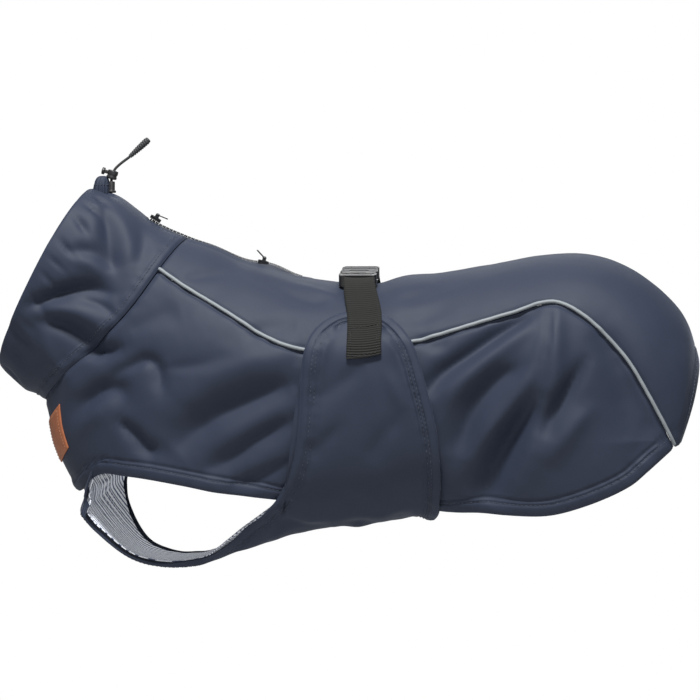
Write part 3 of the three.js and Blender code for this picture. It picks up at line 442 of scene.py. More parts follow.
def locate(x, z):
    x, z = np.asarray(x, float), np.asarray(z, float)

    def is_past(ring):
        r = ring_at(ring)
        down_x, down_z = r["keel_x"] - r["ridge_x"], r["keel_z"] - r["ridge_z"]
        return (x - r["ridge_x"]) * down_z - (z - r["ridge_z"]) * down_x > 0

    ring = solve(np.full(x.shape, 1.5), np.full(x.shape, REAR - 4.0), is_past)
    turn = solve(np.zeros(x.shape), np.full(x.shape, math.pi), lambda turn: bare(ring, turn)[..., 2] < z)
    return ring, turn


def speed_around(ring, line_turn, step=0.01):
    turn = line_turn(ring)
    around = (bare(ring, turn + step) - bare(ring, turn - step)) / (2 * step)
    along = unit(bare(ring + step, line_turn(ring + step)) - bare(ring - step, line_turn(ring - step)))
    return np.linalg.norm(np.cross(around, along), axis=-1)


def piping_turn(ring):
    return turn_at_line(ring, piping_height)


def hem_turn(ring):
    ring = np.asarray(ring, float)
    front = math.pi - 0.15 / (np.hypot(*(ring_at(ring)[k] - ring_at(ring)[j] for k, j in
                                         (("keel_x", "ridge_x"), ("keel_z", "ridge_z"))))
                      - ring_at(ring)["arch"])
    return np.where(ring <= CHEST_HEM, front, np.minimum(turn_at_line(ring, hem_height), front))


# Relief of the cloth: folds, hem bands, seams and small ripples

def curve_through(points, per=8):
    points = np.array(points, float)
    at = np.linspace(0, len(points) - 1, per * (len(points) - 1) + 1)
    return np.stack([spline(points[:, k], at) for k in range(points.shape[1])], -1)


def path_distance(path, x, z):
    best = np.full(np.shape(x), np.inf)
    share = np.zeros(np.shape(x))
    steps = len(path) - 1
    for i in range(steps):
        (x0, z0), (x1, z1) = path[i], path[i + 1]
        run = (x1 - x0) ** 2 + (z1 - z0) ** 2
        t = np.clip(((x - x0) * (x1 - x0) + (z - z0) * (z1 - z0)) / run, 0, 1)
        distance = np.hypot(x - x0 - (x1 - x0) * t, z - z0 - (z1 - z0) * t)
        nearer = distance < best
        best = np.where(nearer, distance, best)
        share = np.where(nearer, (i + t) / steps, share)
    return best, share


def fold_relief(folds, x, z):
    height = np.zeros(np.shape(x))
    for path, width, depth, crisp in folds:
        reach = 3.2 * width
        xs, zs = [p[0] for p in path], [p[1] for p in path]
        near = (x > min(xs) - reach) & (x < max(xs) + reach) & (z > min(zs) - reach) & (z < max(zs) + reach)
        if not near.any():
            continue
        distance, share = path_distance(curve_through(path, 5), x[near], z[near])
        spread = width * (0.75 + 0.5 * share)
        soft = np.exp(-(distance / spread) ** 2)
        sharp = np.exp(-1.5 * (np.sqrt(distance ** 2 + 1.4) - 1.18) / spread)
        taper = 1 - 0.7 * np.abs(2 * share - 1) ** 3
        height[near] += depth * taper * ((1 - crisp) * soft + crisp * sharp)
    return height


def under_flap(x, z):
    front = flap_front(z)
    return smooth(x, front - 10, front) * smooth(-x, -68, -58) * smooth(-z, 14, 24)


def body_folds(points, turn):
    x, z = points[..., 0].copy(), points[..., 2].copy()
    far = np.broadcast_to(turn, x.shape) > 0
    x[far] -= FAR_FOLDS["shift"][0]
    z[far] -= FAR_FOLDS["shift"][1]
    height = fold_relief(FOLDS, x, z)
    height[far] *= FAR_FOLDS["strength"]
    height = np.where(height > 0, height * (1 - under_flap(points[..., 0], points[..., 2])), height)
    side = np.abs(turn)
    return height * smooth(side, 0.22, 0.6) * (1 - smooth(side, 2.45, 2.8))


def saddle(points):
    near = np.exp(-((points[..., 0] - SADDLE["x"]) / SADDLE["along"]) ** 2
                  - ((points[..., 1] - SADDLE["y"]) / SADDLE["across"]) ** 2)
    return np.where(points[..., 2] < -60, 0, SADDLE["depth"] * near)


def ripples(points, size, seed):
    """Smooth random heights from -1 to 1 over the points, in lumps of that size."""
    table = np.random.default_rng(seed).uniform(-1, 1, (32, 32, 32))
    cell = points / size + 100
    low = np.floor(cell).astype(int)
    t = cell - low
    t = t * t * (3 - 2 * t)
    total = np.zeros(points.shape[:-1])
    for corner in np.ndindex(2, 2, 2):
        index = (low + corner) % 32
        weight = np.prod(np.where(corner, t, 1 - t), axis=-1)
        total += weight * table[index[..., 0], index[..., 1], index[..., 2]]
    return total


def crumple(points, strength=1.0):
    return strength * (0.55 * ripples(points * (1, 1, 1.6), 34, 3) + 0.28 * ripples(points, 14, 5)
                       + 0.1 * ripples(points, 6, 8))


class Line:
    """A line on the cloth, such as a hem or a seam, that gives each point's distance to it."""

    def __init__(self, points):
        self.points = resample(points, 0.6)
        self.tree = kdtree.KDTree(len(self.points))
        for i, point in enumerate(self.points):
            self.tree.insert(point, i)
        self.tree.balance()

    def nearest(self, points):
        flat = points.reshape(-1, 3)
        found = [self.tree.find(point) for point in flat]
        distance = np.array([f[2] for f in found]).reshape(points.shape[:-1])
        along = 0.6 * np.array([f[1] for f in found]).reshape(points.shape[:-1])
        return distance, along


def resample(points, step):
    points = np.asarray(points, float)
    lengths = np.concatenate([[0], np.cumsum(np.linalg.norm(np.diff(points, axis=0), axis=1))])
    count = max(2, int(round(lengths[-1] / step)) + 1)
    at = np.linspace(0, lengths[-1], count)
    return np.stack([np.interp(at, lengths, points[:, k]) for k in range(3)], -1)


def hem_relief(distance, along, width=HEM["width"], stitch=HEM["stitch"]):
    """The turned-up hem: a rounded band with a stitched groove and small puckers."""
    share = np.clip(distance / width, 0, 1)
    band = HEM["rise"] * (1 - smooth(distance, width - 0.2, width + 1.2)) + 0.55 * np.sin(math.pi * share)
    groove = -0.85 * np.exp(-((distance - stitch) / 0.85) ** 2)
    step = -0.7 * np.exp(-((distance - width - 1.6) / 1.3) ** 2)
    edge = -0.7 * np.exp(-(distance / 1.1) ** 2)
    pucker = np.sin(along * 0.62 + 2.4 * np.sin(along * 0.11)) * np.exp(-((distance - stitch) / 4.2) ** 2)
    return band + groove + step + edge + 0.3 * pucker


def seam_valley(distance, depth=1.2, width=1.5):
    return -depth * np.exp(-(distance / width) ** 2)


# Meshes

def make_piece(name, points, faces, uv=None, values=None):
    """A mesh from points in the coat's millimetres. Points that no face uses are left out."""
    faces = [np.asarray(f) for f in faces if len(f)]
    used = np.unique(np.concatenate([f.ravel() for f in faces]))
    renumber = np.full(len(points), -1)
    renumber[used] = np.arange(len(used))
    placed = (points[used] + (0, 0, RISE)) * MM
    mesh = bpy.data.meshes.new(name)
    mesh.from_pydata(placed.tolist(), [], [row for f in faces for row in renumber[f].tolist()])
    if uv is not None:
        corner = np.empty(len(mesh.loops), np.int32)
        mesh.loops.foreach_get("vertex_index", corner)
        layer = mesh.uv_layers.new(name="cut")
        layer.data.foreach_set("uv", (uv[used][corner] * MM).astype(np.float32).ravel())
    for key, array in (values or {}).items():
        mesh.attributes.new(key, "FLOAT", "POINT").data.foreach_set("value", array[used].astype(np.float32))
    mesh.update()
    mesh.shade_smooth()
    piece = bpy.data.objects.new(name, mesh)
    bpy.context.scene.collection.objects.link(piece)
    return piece


def wall(name, outer, inner, uv, keep=None, closed=False, values=None):
    """A closed shell between two grids of points, with the cells outside keep left open."""
    rows, columns = outer.shape[:2]
    count = rows * columns
    number = np.arange(count).reshape(rows, columns)
    if closed:
        number = np.concatenate([number, number[:, :1]], axis=1)
    if keep is None:
        keep = np.ones((rows - 1, number.shape[1] - 1), bool)
    a, b, c, d = number[:-1, :-1], number[:-1, 1:], number[1:, 1:], number[1:, :-1]
    top = np.stack([a, b, c, d], -1)[keep]
    around = np.pad(keep, 1)
    if closed:
        around[1:-1, 0] = keep[:, -1]
        around[1:-1, -1] = keep[:, 0]
    faces = [top, top[:, ::-1] + count]
    for p, q, beyond in ((a, b, around[:-2, 1:-1]), (b, c, around[1:-1, 2:]), (c, d, around[2:, 1:-1]),
                         (d, a, around[1:-1, :-2])):
        edge = keep & ~beyond
        faces.append(np.stack([p[edge], p[edge] + count, q[edge] + count, q[edge]], -1))
    points = np.concatenate([outer.reshape(-1, 3), inner.reshape(-1, 3)])
    flat = np.concatenate([np.stack([f[:, 0], f[:, k], f[:, k + 1]], -1) for f in faces for k in (1, 2)])
    volume = np.einsum("ij,ij->i", points[flat[:, 0]], np.cross(points[flat[:, 1]], points[flat[:, 2]])).sum()
    if volume < 0:
        faces = [f[:, ::-1] for f in faces]
    both = {key: np.concatenate([v.ravel(), v.ravel()]) for key, v in (values or {}).items()}
    both["inside"] = np.concatenate([np.zeros(count), np.ones(count)])
    uv = np.concatenate([uv.reshape(-1, 2)] * 2)
    return make_piece(name, points, faces, uv, both)


def cut_lengths(points):
    """The cloth's own lengths along both directions of a grid, for its weave."""
    rows = np.linalg.norm(np.diff(points, axis=0), axis=-1)
    columns = np.linalg.norm(np.diff(points, axis=1), axis=-1)
    u = np.concatenate([np.zeros((1, points.shape[1])), np.cumsum(rows, axis=0)])
    v = np.concatenate([np.zeros((points.shape[0], 1)), np.cumsum(columns, axis=1)], axis=1)
    v -= v[:, [points.shape[1] // 2]]
    return np.stack([u, v], -1)


def tube(name, centres, radius, sides=10, flat=1.0, ups=None):
    """A round tube with closed, domed ends. UV runs along and around it in millimetres."""
    centres = np.asarray(centres, float)
    radius = np.broadcast_to(np.asarray(radius, float), (len(centres),)).copy()
    tangent = unit(np.gradient(centres, axis=0))
    if ups is None:
        up = unit(np.cross(tangent[0], (0.3, 1, 0.2)))
        ups = []
        for t in tangent:
            up = unit(up - t * np.dot(up, t))
            ups.append(up)
    ups = unit(np.array(ups) - tangent * np.sum(np.array(ups) * tangent, axis=1, keepdims=True))
    across = np.cross(tangent, ups)
    angle = np.linspace(0, 2 * math.pi, sides, endpoint=False)
    ring = (np.cos(angle)[None, :, None] * ups[:, None] * flat
            + np.sin(angle)[None, :, None] * across[:, None])
    body = centres[:, None] + ring * radius[:, None, None]
    caps = []
    for end, sign in ((0, -1), (-1, 1)):
        caps.append(centres[end] + tangent[end] * sign * radius[end] * 0.6)
        body = np.concatenate([body, (centres[end] + tangent[end] * sign * radius[end] * 0.4
                                      + ring[end] * radius[end] * 0.72)[None]])
    body = np.concatenate([body[-2:-1], body[:-2], body[-1:]])
    count = len(body) * sides
    number = np.arange(count).reshape(len(body), sides)
    rolled = np.roll(number, -1, axis=1)
    quads = np.stack([number[:-1], rolled[:-1], rolled[1:], number[1:]], -1).reshape(-1, 4)
    first = np.stack([np.full(sides, count), rolled[0], number[0]], -1)
    last = np.stack([np.full(sides, count + 1), number[-1], rolled[-1]], -1)
    points = np.concatenate([body.reshape(-1, 3), caps])
    along = np.concatenate([[0, 0], np.cumsum(np.linalg.norm(np.diff(centres, axis=0), axis=1)), [0]])
    along[-1] = along[-2]
    uv = np.stack(np.broadcast_arrays(along[:, None], (angle * radius.mean())[None]), -1).reshape(-1, 2)
    uv = np.concatenate([uv, [[0, 0], [along[-1], 0]]])
    return make_piece(name, points, [quads, first, last], uv)


def stitches(name, rows, pitch=3.1, radius=0.26):
    """Rows of sewn stitches on the cloth. A row is its points and the cloth's outward directions there."""
    sides, stations = 5, 5
    angle = np.linspace(0, 2 * math.pi, sides, endpoint=False)
    share = np.linspace(-0.5, 0.5, stations)
    points, faces, start = [], [], 0
    for line, normals in rows:
        lengths = np.concatenate([[0], np.cumsum(np.linalg.norm(np.diff(line, axis=0), axis=1))])
        count = int(lengths[-1] / pitch)
        centre = (np.arange(count) + 0.5) * lengths[-1] / count
        at = centre[:, None] + share * pitch * 0.78
        place = np.stack([np.interp(at, lengths, line[:, k]) for k in range(3)], -1)
        out = unit(np.stack([np.interp(at, lengths, normals[:, k]) for k in range(3)], -1))
        place += out * (0.3 - 2.2 * share ** 2)[None, :, None]
        ahead = unit(place[:, -1] - place[:, 0])[:, None]
        across = unit(np.cross(ahead, out))
        thick = radius * (1 - 1.1 * share ** 2)
        ring = (np.cos(angle)[:, None] * out[:, :, None] + np.sin(angle)[:, None] * across[:, :, None])
        body = place[:, :, None] + ring * thick[None, :, None, None]
        points.append(body.reshape(-1, 3))
        number = start + np.arange(count * stations * sides).reshape(count, stations, sides)
        rolled = np.roll(number, -1, axis=2)
        quads = np.stack([number[:, :-1], number[:, 1:], rolled[:, 1:], rolled[:, :-1]], -1)
        faces.append(quads.reshape(-1, 4))
        for end, flip in ((0, 1), (-1, -1)):
            cap = number[:, end, ::flip]
            faces.append(np.stack([cap[:, 0], cap[:, 1], cap[:, 2]], -1))
            faces.append(np.stack([cap[:, 0], cap[:, 2], cap[:, 3]], -1))
            faces.append(np.stack([cap[:, 0], cap[:, 3], cap[:, 4]], -1))
        start += count * stations * sides
    return make_piece(name, np.concatenate(points), faces)


origin_ring = ring_at_x(0, 0)
RISE = float(1.3 - bare(origin_ring, 0.0)[2] - saddle(bare(origin_ring, 0.0)))


# Camera at the photograph's place

def make_camera():
    azimuth, elevation = (math.radians(CAMERA[k]) for k in ("azimuth", "elevation"))
    back = Vector((math.sin(azimuth) * math.cos(elevation), -math.cos(azimuth) * math.cos(elevation),
                   math.sin(elevation)))
    data = bpy.data.cameras.new("camera")
    data.sensor_width = 36
    data.lens = CAMERA["distance"] / CAMERA["pixel"] / CAMERA["frame"] * data.sensor_width
    data.clip_start, data.clip_end = 0.05, 50
    camera = bpy.data.objects.new("camera", data)
    target = Vector((CAMERA["target"][0], 0, CAMERA["target"][1] + RISE)) * MM
    camera.location = target + back * CAMERA["distance"] * MM
    camera.rotation_mode = "QUATERNION"
    camera.rotation_quaternion = (-back).to_track_quat("-Z", "Y")
    bpy.context.scene.collection.objects.link(camera)
    bpy.context.scene.camera = camera


make_camera()


# The drawcord

def make_cord():
    route = curve_through(CORD_ROUTE, 4)
    cord = tube("drawcord_braid", route, CORD["radius"], CORD["sides"])
    path = (route + (0, 0, RISE)) * MM
    return cord, path


cord, cord_path = make_cord()


# Cloth panels. A surface function gives points, outward directions and distances for any ring and turn.

def body_surface(ring, turn, relief=0.0, folded=True):
    ring, turn = np.broadcast_arrays(np.asarray(ring, float), np.asarray(turn, float))
    points = bare(ring, turn)
    height = relief + saddle(points)
    if folded:
        height = height + body_folds(points, turn)
    normal = outward(ring, turn)
    return points + normal * height[..., None], normal


def steps_by_length(length, fine_start, fine_end, coarse_count, fine=0.55):
    """Shares from 0 to 1 of each row, with fine steps in millimetres at both ends."""
    length = np.asarray(length, float)[:, None]
    start = np.arange(0, fine_start, fine)[None] * np.minimum(1, 0.4 * length / max(fine_start, 1e-6))
    end = np.arange(0, fine_end, fine)[None] * np.minimum(1, 0.25 * length / max(fine_end, 1e-6))
    low = start[:, -1:] if fine_start else np.zeros_like(length)
    high = length - (end[:, -1:] if fine_end else 0)
    middle = low + (high - low) * np.linspace(0, 1, coarse_count + 2)[None, 1:-1]
    return np.concatenate([start, middle, length - end[:, ::-1]], axis=1) / length


def row_lengths(rings, first, last):
    share = np.linspace(0, 1, 24)
    points = bare(rings[:, None], first[:, None] + (last - first)[:, None] * share)
    return np.linalg.norm(np.diff(points, axis=1), axis=-1).sum(axis=1)


def make_side(side):
    name = "near" if side < 0 else "far"
    rings = np.concatenate([np.arange(0.012, 0.3, 0.03), np.arange(0.3, 1.9, 0.085),
                            np.arange(1.9, 2.4, 0.008), np.arange(2.4, SIDE_END, 0.085), [SIDE_END]])
    start = piping_turn(rings) + 1.2 / speed_around(rings, piping_turn)
    end = hem_turn(rings)
    shares = steps_by_length(row_lengths(rings, start, end), 13, 4, 58)
    turns = side * (end[:, None] + (start - end)[:, None] * shares)
    grid = np.broadcast_to(rings[:, None], turns.shape)
    hem_rings = np.arange(CHEST_HEM, SIDE_END + 0.01, 0.03)
    hem = Line(bare(hem_rings, side * turn_at_line(hem_rings, hem_height)))
    front_rings = np.arange(-0.05, CHEST_HEM, 0.03)
    front = Line(bare(front_rings, side * math.pi * np.ones_like(front_rings)))
    seam = Line(bare(rings, side * piping_turn(rings)))
    collar = Line(bare(np.zeros(160), side * np.linspace(0.6, math.pi, 160)))

    def relief(points):
        hem_distance, hem_along = hem.nearest(points)
        front_distance, _ = front.nearest(points)
        seam_distance, seam_along = seam.nearest(points)
        collar_distance, collar_along = collar.nearest(points)
        height = hem_relief(hem_distance, hem_along)
        height += seam_valley(front_distance, 0.9) + seam_valley(collar_distance, 1.5, 2.4)
        height += seam_valley(seam_distance - 2.2, 1.3, 1.7)
        pull = np.sin(seam_along * 0.33 + 2.2 * np.sin(seam_along * 0.07)) * np.exp(-seam_distance / 6)
        height += 0.45 * pull
        height += 0.2 * np.sin(collar_along * 0.55) * np.exp(-collar_distance / 5)
        calm = smooth(np.minimum(np.minimum(hem_distance, front_distance), seam_distance), 0, 12)
        height += crumple(points + (0, 0 if side < 0 else 400, 0)) * (0.35 + 0.65 * calm)
        sewn_down = smooth(seam_distance, 0.2, 2.6)
        return height * sewn_down - 0.35 * (1 - sewn_down), hem_distance

    def surface(ring, turn):
        points = bare(ring, turn)
        height, distance = relief(points)
        placed, normal = body_surface(ring, turn, height)
        return placed, normal, distance

    outer, normal, distance = surface(grid, turns)
    panel = wall(f"side_panel_cloth_{name}", outer, outer - normal * CLOTH, cut_lengths(bare(grid, turns)),
                 values={"hem": distance})
    rows = []
    sewn = np.arange(CHEST_HEM + 0.55, SIDE_END, 0.02)
    around = hem_turn(sewn) - HEM["stitch"] / speed_around(sewn, lambda r: turn_at_line(r, hem_height))
    rows.append(surface(sewn, side * around)[:2])
    down = np.arange(0.04, CHEST_HEM, 0.02)
    beside = keel_turn_at_width(down, 2.6)
    rows.append(surface(down, side * (math.pi - beside))[:2])
    sewing = stitches(f"side_stitches_{name}", rows)
    return panel, sewing


def make_back():
    rings = np.concatenate([np.arange(0.012, 0.3, 0.04), np.arange(0.3, 16.35, 0.085),
                            np.arange(16.38, REAR, 0.02), [REAR]])
    inner = turn_at_width(rings, ZIP_SLIT)
    seam_turn = piping_turn(rings) - np.where(rings < SIDE_END, 1.2 / speed_around(rings, piping_turn), 0)
    outer_turn = np.minimum(seam_turn, turn_at_line(rings, hem_height))
    shares = steps_by_length(row_lengths(rings, inner, outer_turn), 4, 4, 34)
    side = inner[:, None] + (outer_turn - inner)[:, None] * shares
    middle = inner[:, None] * np.linspace(-1, 1, 7)[1:-1]
    turns = np.concatenate([-side[:, ::-1], middle, side], axis=1)
    grid = np.broadcast_to(rings[:, None], turns.shape)
    reach = float(outer_turn[-1])
    rear = Line(bare(np.full(240, float(REAR)), np.linspace(-reach, reach, 240)))
    corner_rings = np.arange(SIDE_END, REAR, 0.02)
    corners = [Line(bare(corner_rings, s * turn_at_line(corner_rings, hem_height))) for s in (-1, 1)]
    seam_rings = rings[rings < SIDE_END + 0.2]
    seams = [Line(bare(seam_rings, s * piping_turn(seam_rings))) for s in (-1, 1)]
    zip_rings = np.arange(0, ZIP_FOOT, 0.05)
    slit = [Line(bare(zip_rings, s * turn_at_width(zip_rings, ZIP_SLIT))) for s in (-1, 1)]
    collar = Line(bare(np.zeros(200), np.linspace(-1.4, 1.4, 200)))

    def relief(points):
        rear_distance, rear_along = rear.nearest(points)
        for line in corners:
            distance, _ = line.nearest(points)
            rear_distance = np.minimum(rear_distance, distance)
        height = 0.4 * hem_relief(rear_distance, rear_along)
        sewn_down = 1.0
        for line in seams:
            distance, along = line.nearest(points)
            height += seam_valley(distance - 2, 0.3, 1.2)
            height += 0.25 * np.sin(along * 0.4 + np.sin(along * 0.09)) * np.exp(-distance / 5)
            sewn_down = sewn_down * smooth(distance, 0.2, 3)
        nearest_slit = np.minimum(*(line.nearest(points)[0] for line in slit))
        height += (0.5 * (1 - smooth(nearest_slit, 5.6, 6.8))
                   - 0.4 * np.exp(-((nearest_slit - 4.4) / 0.6) ** 2))
        height += seam_valley(nearest_slit, 0.6, 0.8)
        collar_distance, _ = collar.nearest(points)
        height += seam_valley(collar_distance, 0.9)
        calm = smooth(rear_distance, 4, 16)
        return (height + crumple(points, 0.75) * (0.4 + 0.6 * calm)) * sewn_down - 0.35 * (1 - sewn_down)

    def surface(ring, turn):
        return body_surface(ring, turn, relief(bare(ring, turn)))

    outer, normal = surface(grid, turns)
    keep = np.ones((len(rings) - 1, turns.shape[1] - 1), bool)
    first = side.shape[1] - 1
    keep[rings[1:] <= ZIP_FOOT, first:first + 6] = False
    panel = wall("back_panel_cloth", outer, outer - normal * CLOTH, cut_lengths(bare(grid, turns)), keep=keep)
    across = np.linspace(-2.05, 2.05, 400)
    across = across[np.abs(across) < reach - 0.1]
    hem_ring = REAR - HEM["stitch"] / np.linalg.norm(bare(REAR, across) - bare(REAR - 1, across), axis=-1)
    rows = [surface(hem_ring, across)]
    sewn = np.arange(0.05, ZIP_FOOT, 0.02)
    for s in (-1, 1):
        rows.append(surface(sewn, s * turn_at_width(sewn, ZIP_SLIT + 4.4)))
    return panel, stitches("back_stitches", rows)


def make_collar():
    rings = np.concatenate([np.arange(MOUTH, -2.35, 0.028), np.arange(-2.35, -0.36, 0.075),
                            np.arange(-0.36, -0.012, 0.022), [-0.012]])
    inner = turn_at_width(rings, ZIP_SLIT)
    half = np.concatenate([np.arange(0, 4, 0.6), np.linspace(4.6, 166, 84)]) / 166
    side = inner[:, None] + (math.pi - inner)[:, None] * half
    middle = inner[:, None] * np.linspace(-1, 1, 7)[1:-1]
    turns = np.concatenate([-side[:, -2::-1], middle, side], axis=1)
    grid = np.broadcast_to(rings[:, None], turns.shape)
    around = np.linspace(-math.pi, math.pi, 700)
    mouth = Line(bare(np.full(700, float(MOUTH)), around))
    seam = Line(bare(np.zeros(700), around))
    zip_rings = np.arange(ZIP_TOP, 0.01, 0.04)
    slit = [Line(bare(zip_rings, s * turn_at_width(zip_rings, ZIP_SLIT))) for s in (-1, 1)]

    def relief(points):
        mouth_distance, mouth_along = mouth.nearest(points)
        seam_distance, seam_along = seam.nearest(points)
        height = -0.7 * np.exp(-(mouth_distance / 1.1) ** 2)
        wander = mouth_along + 3 * np.sin(mouth_along * 0.11) + 0.35 * mouth_distance
        nip = np.abs((wander / 16) % 1 - 0.5) * 16
        deep = 0.55 + 0.45 * ripples(points, 26, 15)
        height -= 3.2 * deep * np.exp(-(nip / 2.6) ** 2) * np.exp(-((mouth_distance - 15) / 8) ** 2)
        height += 0.55 * (1 - smooth(seam_distance, COLLAR_BAND, COLLAR_BAND + 1.1))
        height += (-0.45 * np.exp(-((seam_distance - COLLAR_BAND + 0.6) / 0.6) ** 2)
                   + seam_valley(seam_distance, 1.5, 1.8))
        height += (0.25 * np.sin(seam_along * 0.6 + np.sin(seam_along * 0.17))
                   * np.exp(-((seam_distance - 7) / 4) ** 2))
        nearest_slit = np.minimum(*(line.nearest(points)[0] for line in slit))
        height += seam_valley(nearest_slit, 0.6, 0.8) - 0.4 * np.exp(-((nearest_slit - 4.4) / 0.6) ** 2)
        calm = smooth(seam_distance, 2, 12)
        return height + crumple(points + (0, 300, 0), 1.0) * (0.35 + 0.65 * calm)

    def surface(ring, turn):
        return body_surface(ring, turn, relief(bare(ring, turn)))

    outer, normal = surface(grid, turns)
    keep = np.ones((len(rings) - 1, turns.shape[1]), bool)
    first = side.shape[1] - 2
    keep[rings[:-1] >= ZIP_TOP, first:first + 6] = False
    panel = wall("collar_cloth", outer, outer - normal * CLOTH, cut_lengths(bare(grid, turns)),
                 keep=keep, closed=True)
    rows = []
    spacing = np.linalg.norm(bare(0.0, around) - bare(-1.0, around), axis=-1)
    nape = np.abs(around) > 0.16
    rows.append(surface(-(COLLAR_BAND - 0.6) / spacing[nape], around[nape]))
    sewn = np.arange(ZIP_TOP, -0.02, 0.02)
    for s in (-1, 1):
        rows.append(surface(sewn, s * turn_at_width(sewn, ZIP_SLIT + 4.4)))
    return panel, stitches("collar_stitches", rows)


# The belly panel: chest strip, belly and both flaps in one piece

def belly_columns():
    strip_x, strip_half, strip_trail = np.array(CHEST_STRIP, float).T
    keel = ring_at_x(strip_x, math.pi)
    edge = keel + strip_trail
    turn = math.pi - keel_turn_at_width(edge, strip_half)
    flap_keel, flap_x, flap_z, flap_bow = np.array(FLAP_COLUMNS, float).T
    flap_edge, flap_turn = locate(flap_x, flap_z)
    return {
        "keel": np.concatenate([keel, ring_at_x(flap_keel, math.pi)]),
        "edge": np.concatenate([edge, flap_edge]),
        "turn": np.concatenate([turn, flap_turn]),
        "bow": np.concatenate([np.zeros(len(keel)), flap_bow]),
    }


BELLY = belly_columns()
BELLY_LAST = len(BELLY["keel"]) - 1


def belly_spot(station, share):
    keel, edge, turn, bow = (spline(BELLY[k], station) for k in ("keel", "edge", "turn", "bow"))
    return keel + (edge - keel) * share + bow * np.sin(math.pi * share), math.pi + (turn - math.pi) * share


def belly_lift(points, turn):
    """How far the belly panel stands off: outside over the flaps, and behind the folds up in the chest."""
    inside = smooth(points[..., 2] - hem_height(points[..., 0]), -14, -2) * smooth(-points[..., 0], 150, 165)
    over_piping = (np.exp(-((points[..., 2] - piping_height(points[..., 0])) / 13) ** 2)
                   * smooth(points[..., 2], -110, -90))
    flap = FLAP_LIFT + PIPING_BUMP * over_piping
    behind = np.minimum(body_folds(points, turn), 0) - 1.3 - STRIP_DEPTH
    return flap + (behind - flap) * inside


def flattened(placed, ring, turn, height):
    """Lets the near half of the chest strip hang level with its middle, as it lies in the photograph."""
    keel_turn = np.full(np.shape(ring), math.pi)
    keel = bare(ring, keel_turn) + outward(ring, keel_turn) * np.asarray(height)[..., None]
    free = smooth(ring, 1.95, 2.4) * (1 - smooth(ring, 4.3, 5.4))
    away = smooth(math.pi - np.abs(turn), 0.02, 0.3)
    share = np.where(turn < 0, 0.86 * free * away, 0)[..., None] * np.array((1, 0, 1))
    return placed + (keel - placed) * share


def make_belly():
    stations = np.concatenate([np.arange(0, BELLY_LAST - 3.5, 0.115),
                               np.arange(BELLY_LAST - 3.5, BELLY_LAST - 2, 0.055),
                               np.arange(BELLY_LAST - 2, BELLY_LAST, 0.1), [BELLY_LAST]])
    share = np.linspace(0, 1, 30)
    ring, turn = belly_spot(stations[:, None], share)
    lengths = np.linalg.norm(np.diff(bare(ring, turn), axis=1), axis=-1).sum(axis=1)
    shares = 1 - steps_by_length(lengths, 13, 0, 56)
    ring, turn = belly_spot(stations[:, None], shares)
    ring = np.concatenate([ring, ring[:, -2::-1]], axis=1)
    turn = np.concatenate([-turn, turn[:, -2::-1]], axis=1)
    fine = np.linspace(0, BELLY_LAST, 900)
    edges = []
    for s in (-1, 1):
        edge_ring, edge_turn = belly_spot(fine, 1.0)
        back_ring, back_turn = belly_spot(float(BELLY_LAST), np.linspace(1, 0, 200))
        edges.append(Line(np.concatenate([bare(edge_ring, s * edge_turn), bare(back_ring, s * back_turn)])))

    def rolled(points):
        return np.exp(-(np.minimum(*(line.nearest(points)[0] for line in edges)) / 2.6) ** 2)

    def relief(points):
        near = [line.nearest(points) for line in edges]
        closer = near[0][0] < near[1][0]
        distance = np.where(closer, near[0][0], near[1][0])
        along = np.where(closer, near[0][1], near[1][1])
        height = hem_relief(distance, along, HEM["width"] + 0.6, HEM["stitch"] + 0.9)
        height += -1.2 * np.exp(-((distance - HEM["stitch"] + 1.6) / 0.8) ** 2)
        height += -0.6 * np.exp(-((distance - HEM["stitch"] - 0.9) / 0.9) ** 2)
        height += 1.9 * ripples(points, 15, 31) * smooth(-points[..., 2], 144, 160)
        folds = fold_relief(FLAP_FOLDS, points[..., 0], points[..., 2])
        folds = folds * smooth(np.abs(points[..., 1]), 25, 45)
        calm = smooth(distance, 3, 16)
        return height + folds + crumple(points + (0, 0, 500), 0.9) * (0.35 + 0.65 * calm)

    def surface(ring, turn):
        points = bare(ring, turn)
        lift = belly_lift(points, turn)
        strip = smooth(ring, 1.95, 2.4) * (1 - smooth(ring, 5, 6))
        height = relief(points) * (1 - 0.7 * strip) + lift + 1.25 - 3.2 * strip * rolled(points)
        normal = outward(ring, turn)
        return flattened(points + normal * height[..., None], ring, turn, lift + 1.25), normal

    outer, normal = surface(ring, turn)
    panel = wall("belly_panel_cloth", outer, outer - normal * CLOTH, cut_lengths(bare(ring, turn)))
    rows = []
    for s in (-1, 1):
        for inset in (HEM["stitch"] - 1.6, HEM["stitch"] + 0.9):
            rows.append(inset_row(surface, s, inset))
    return panel, stitches("belly_stitches", rows)


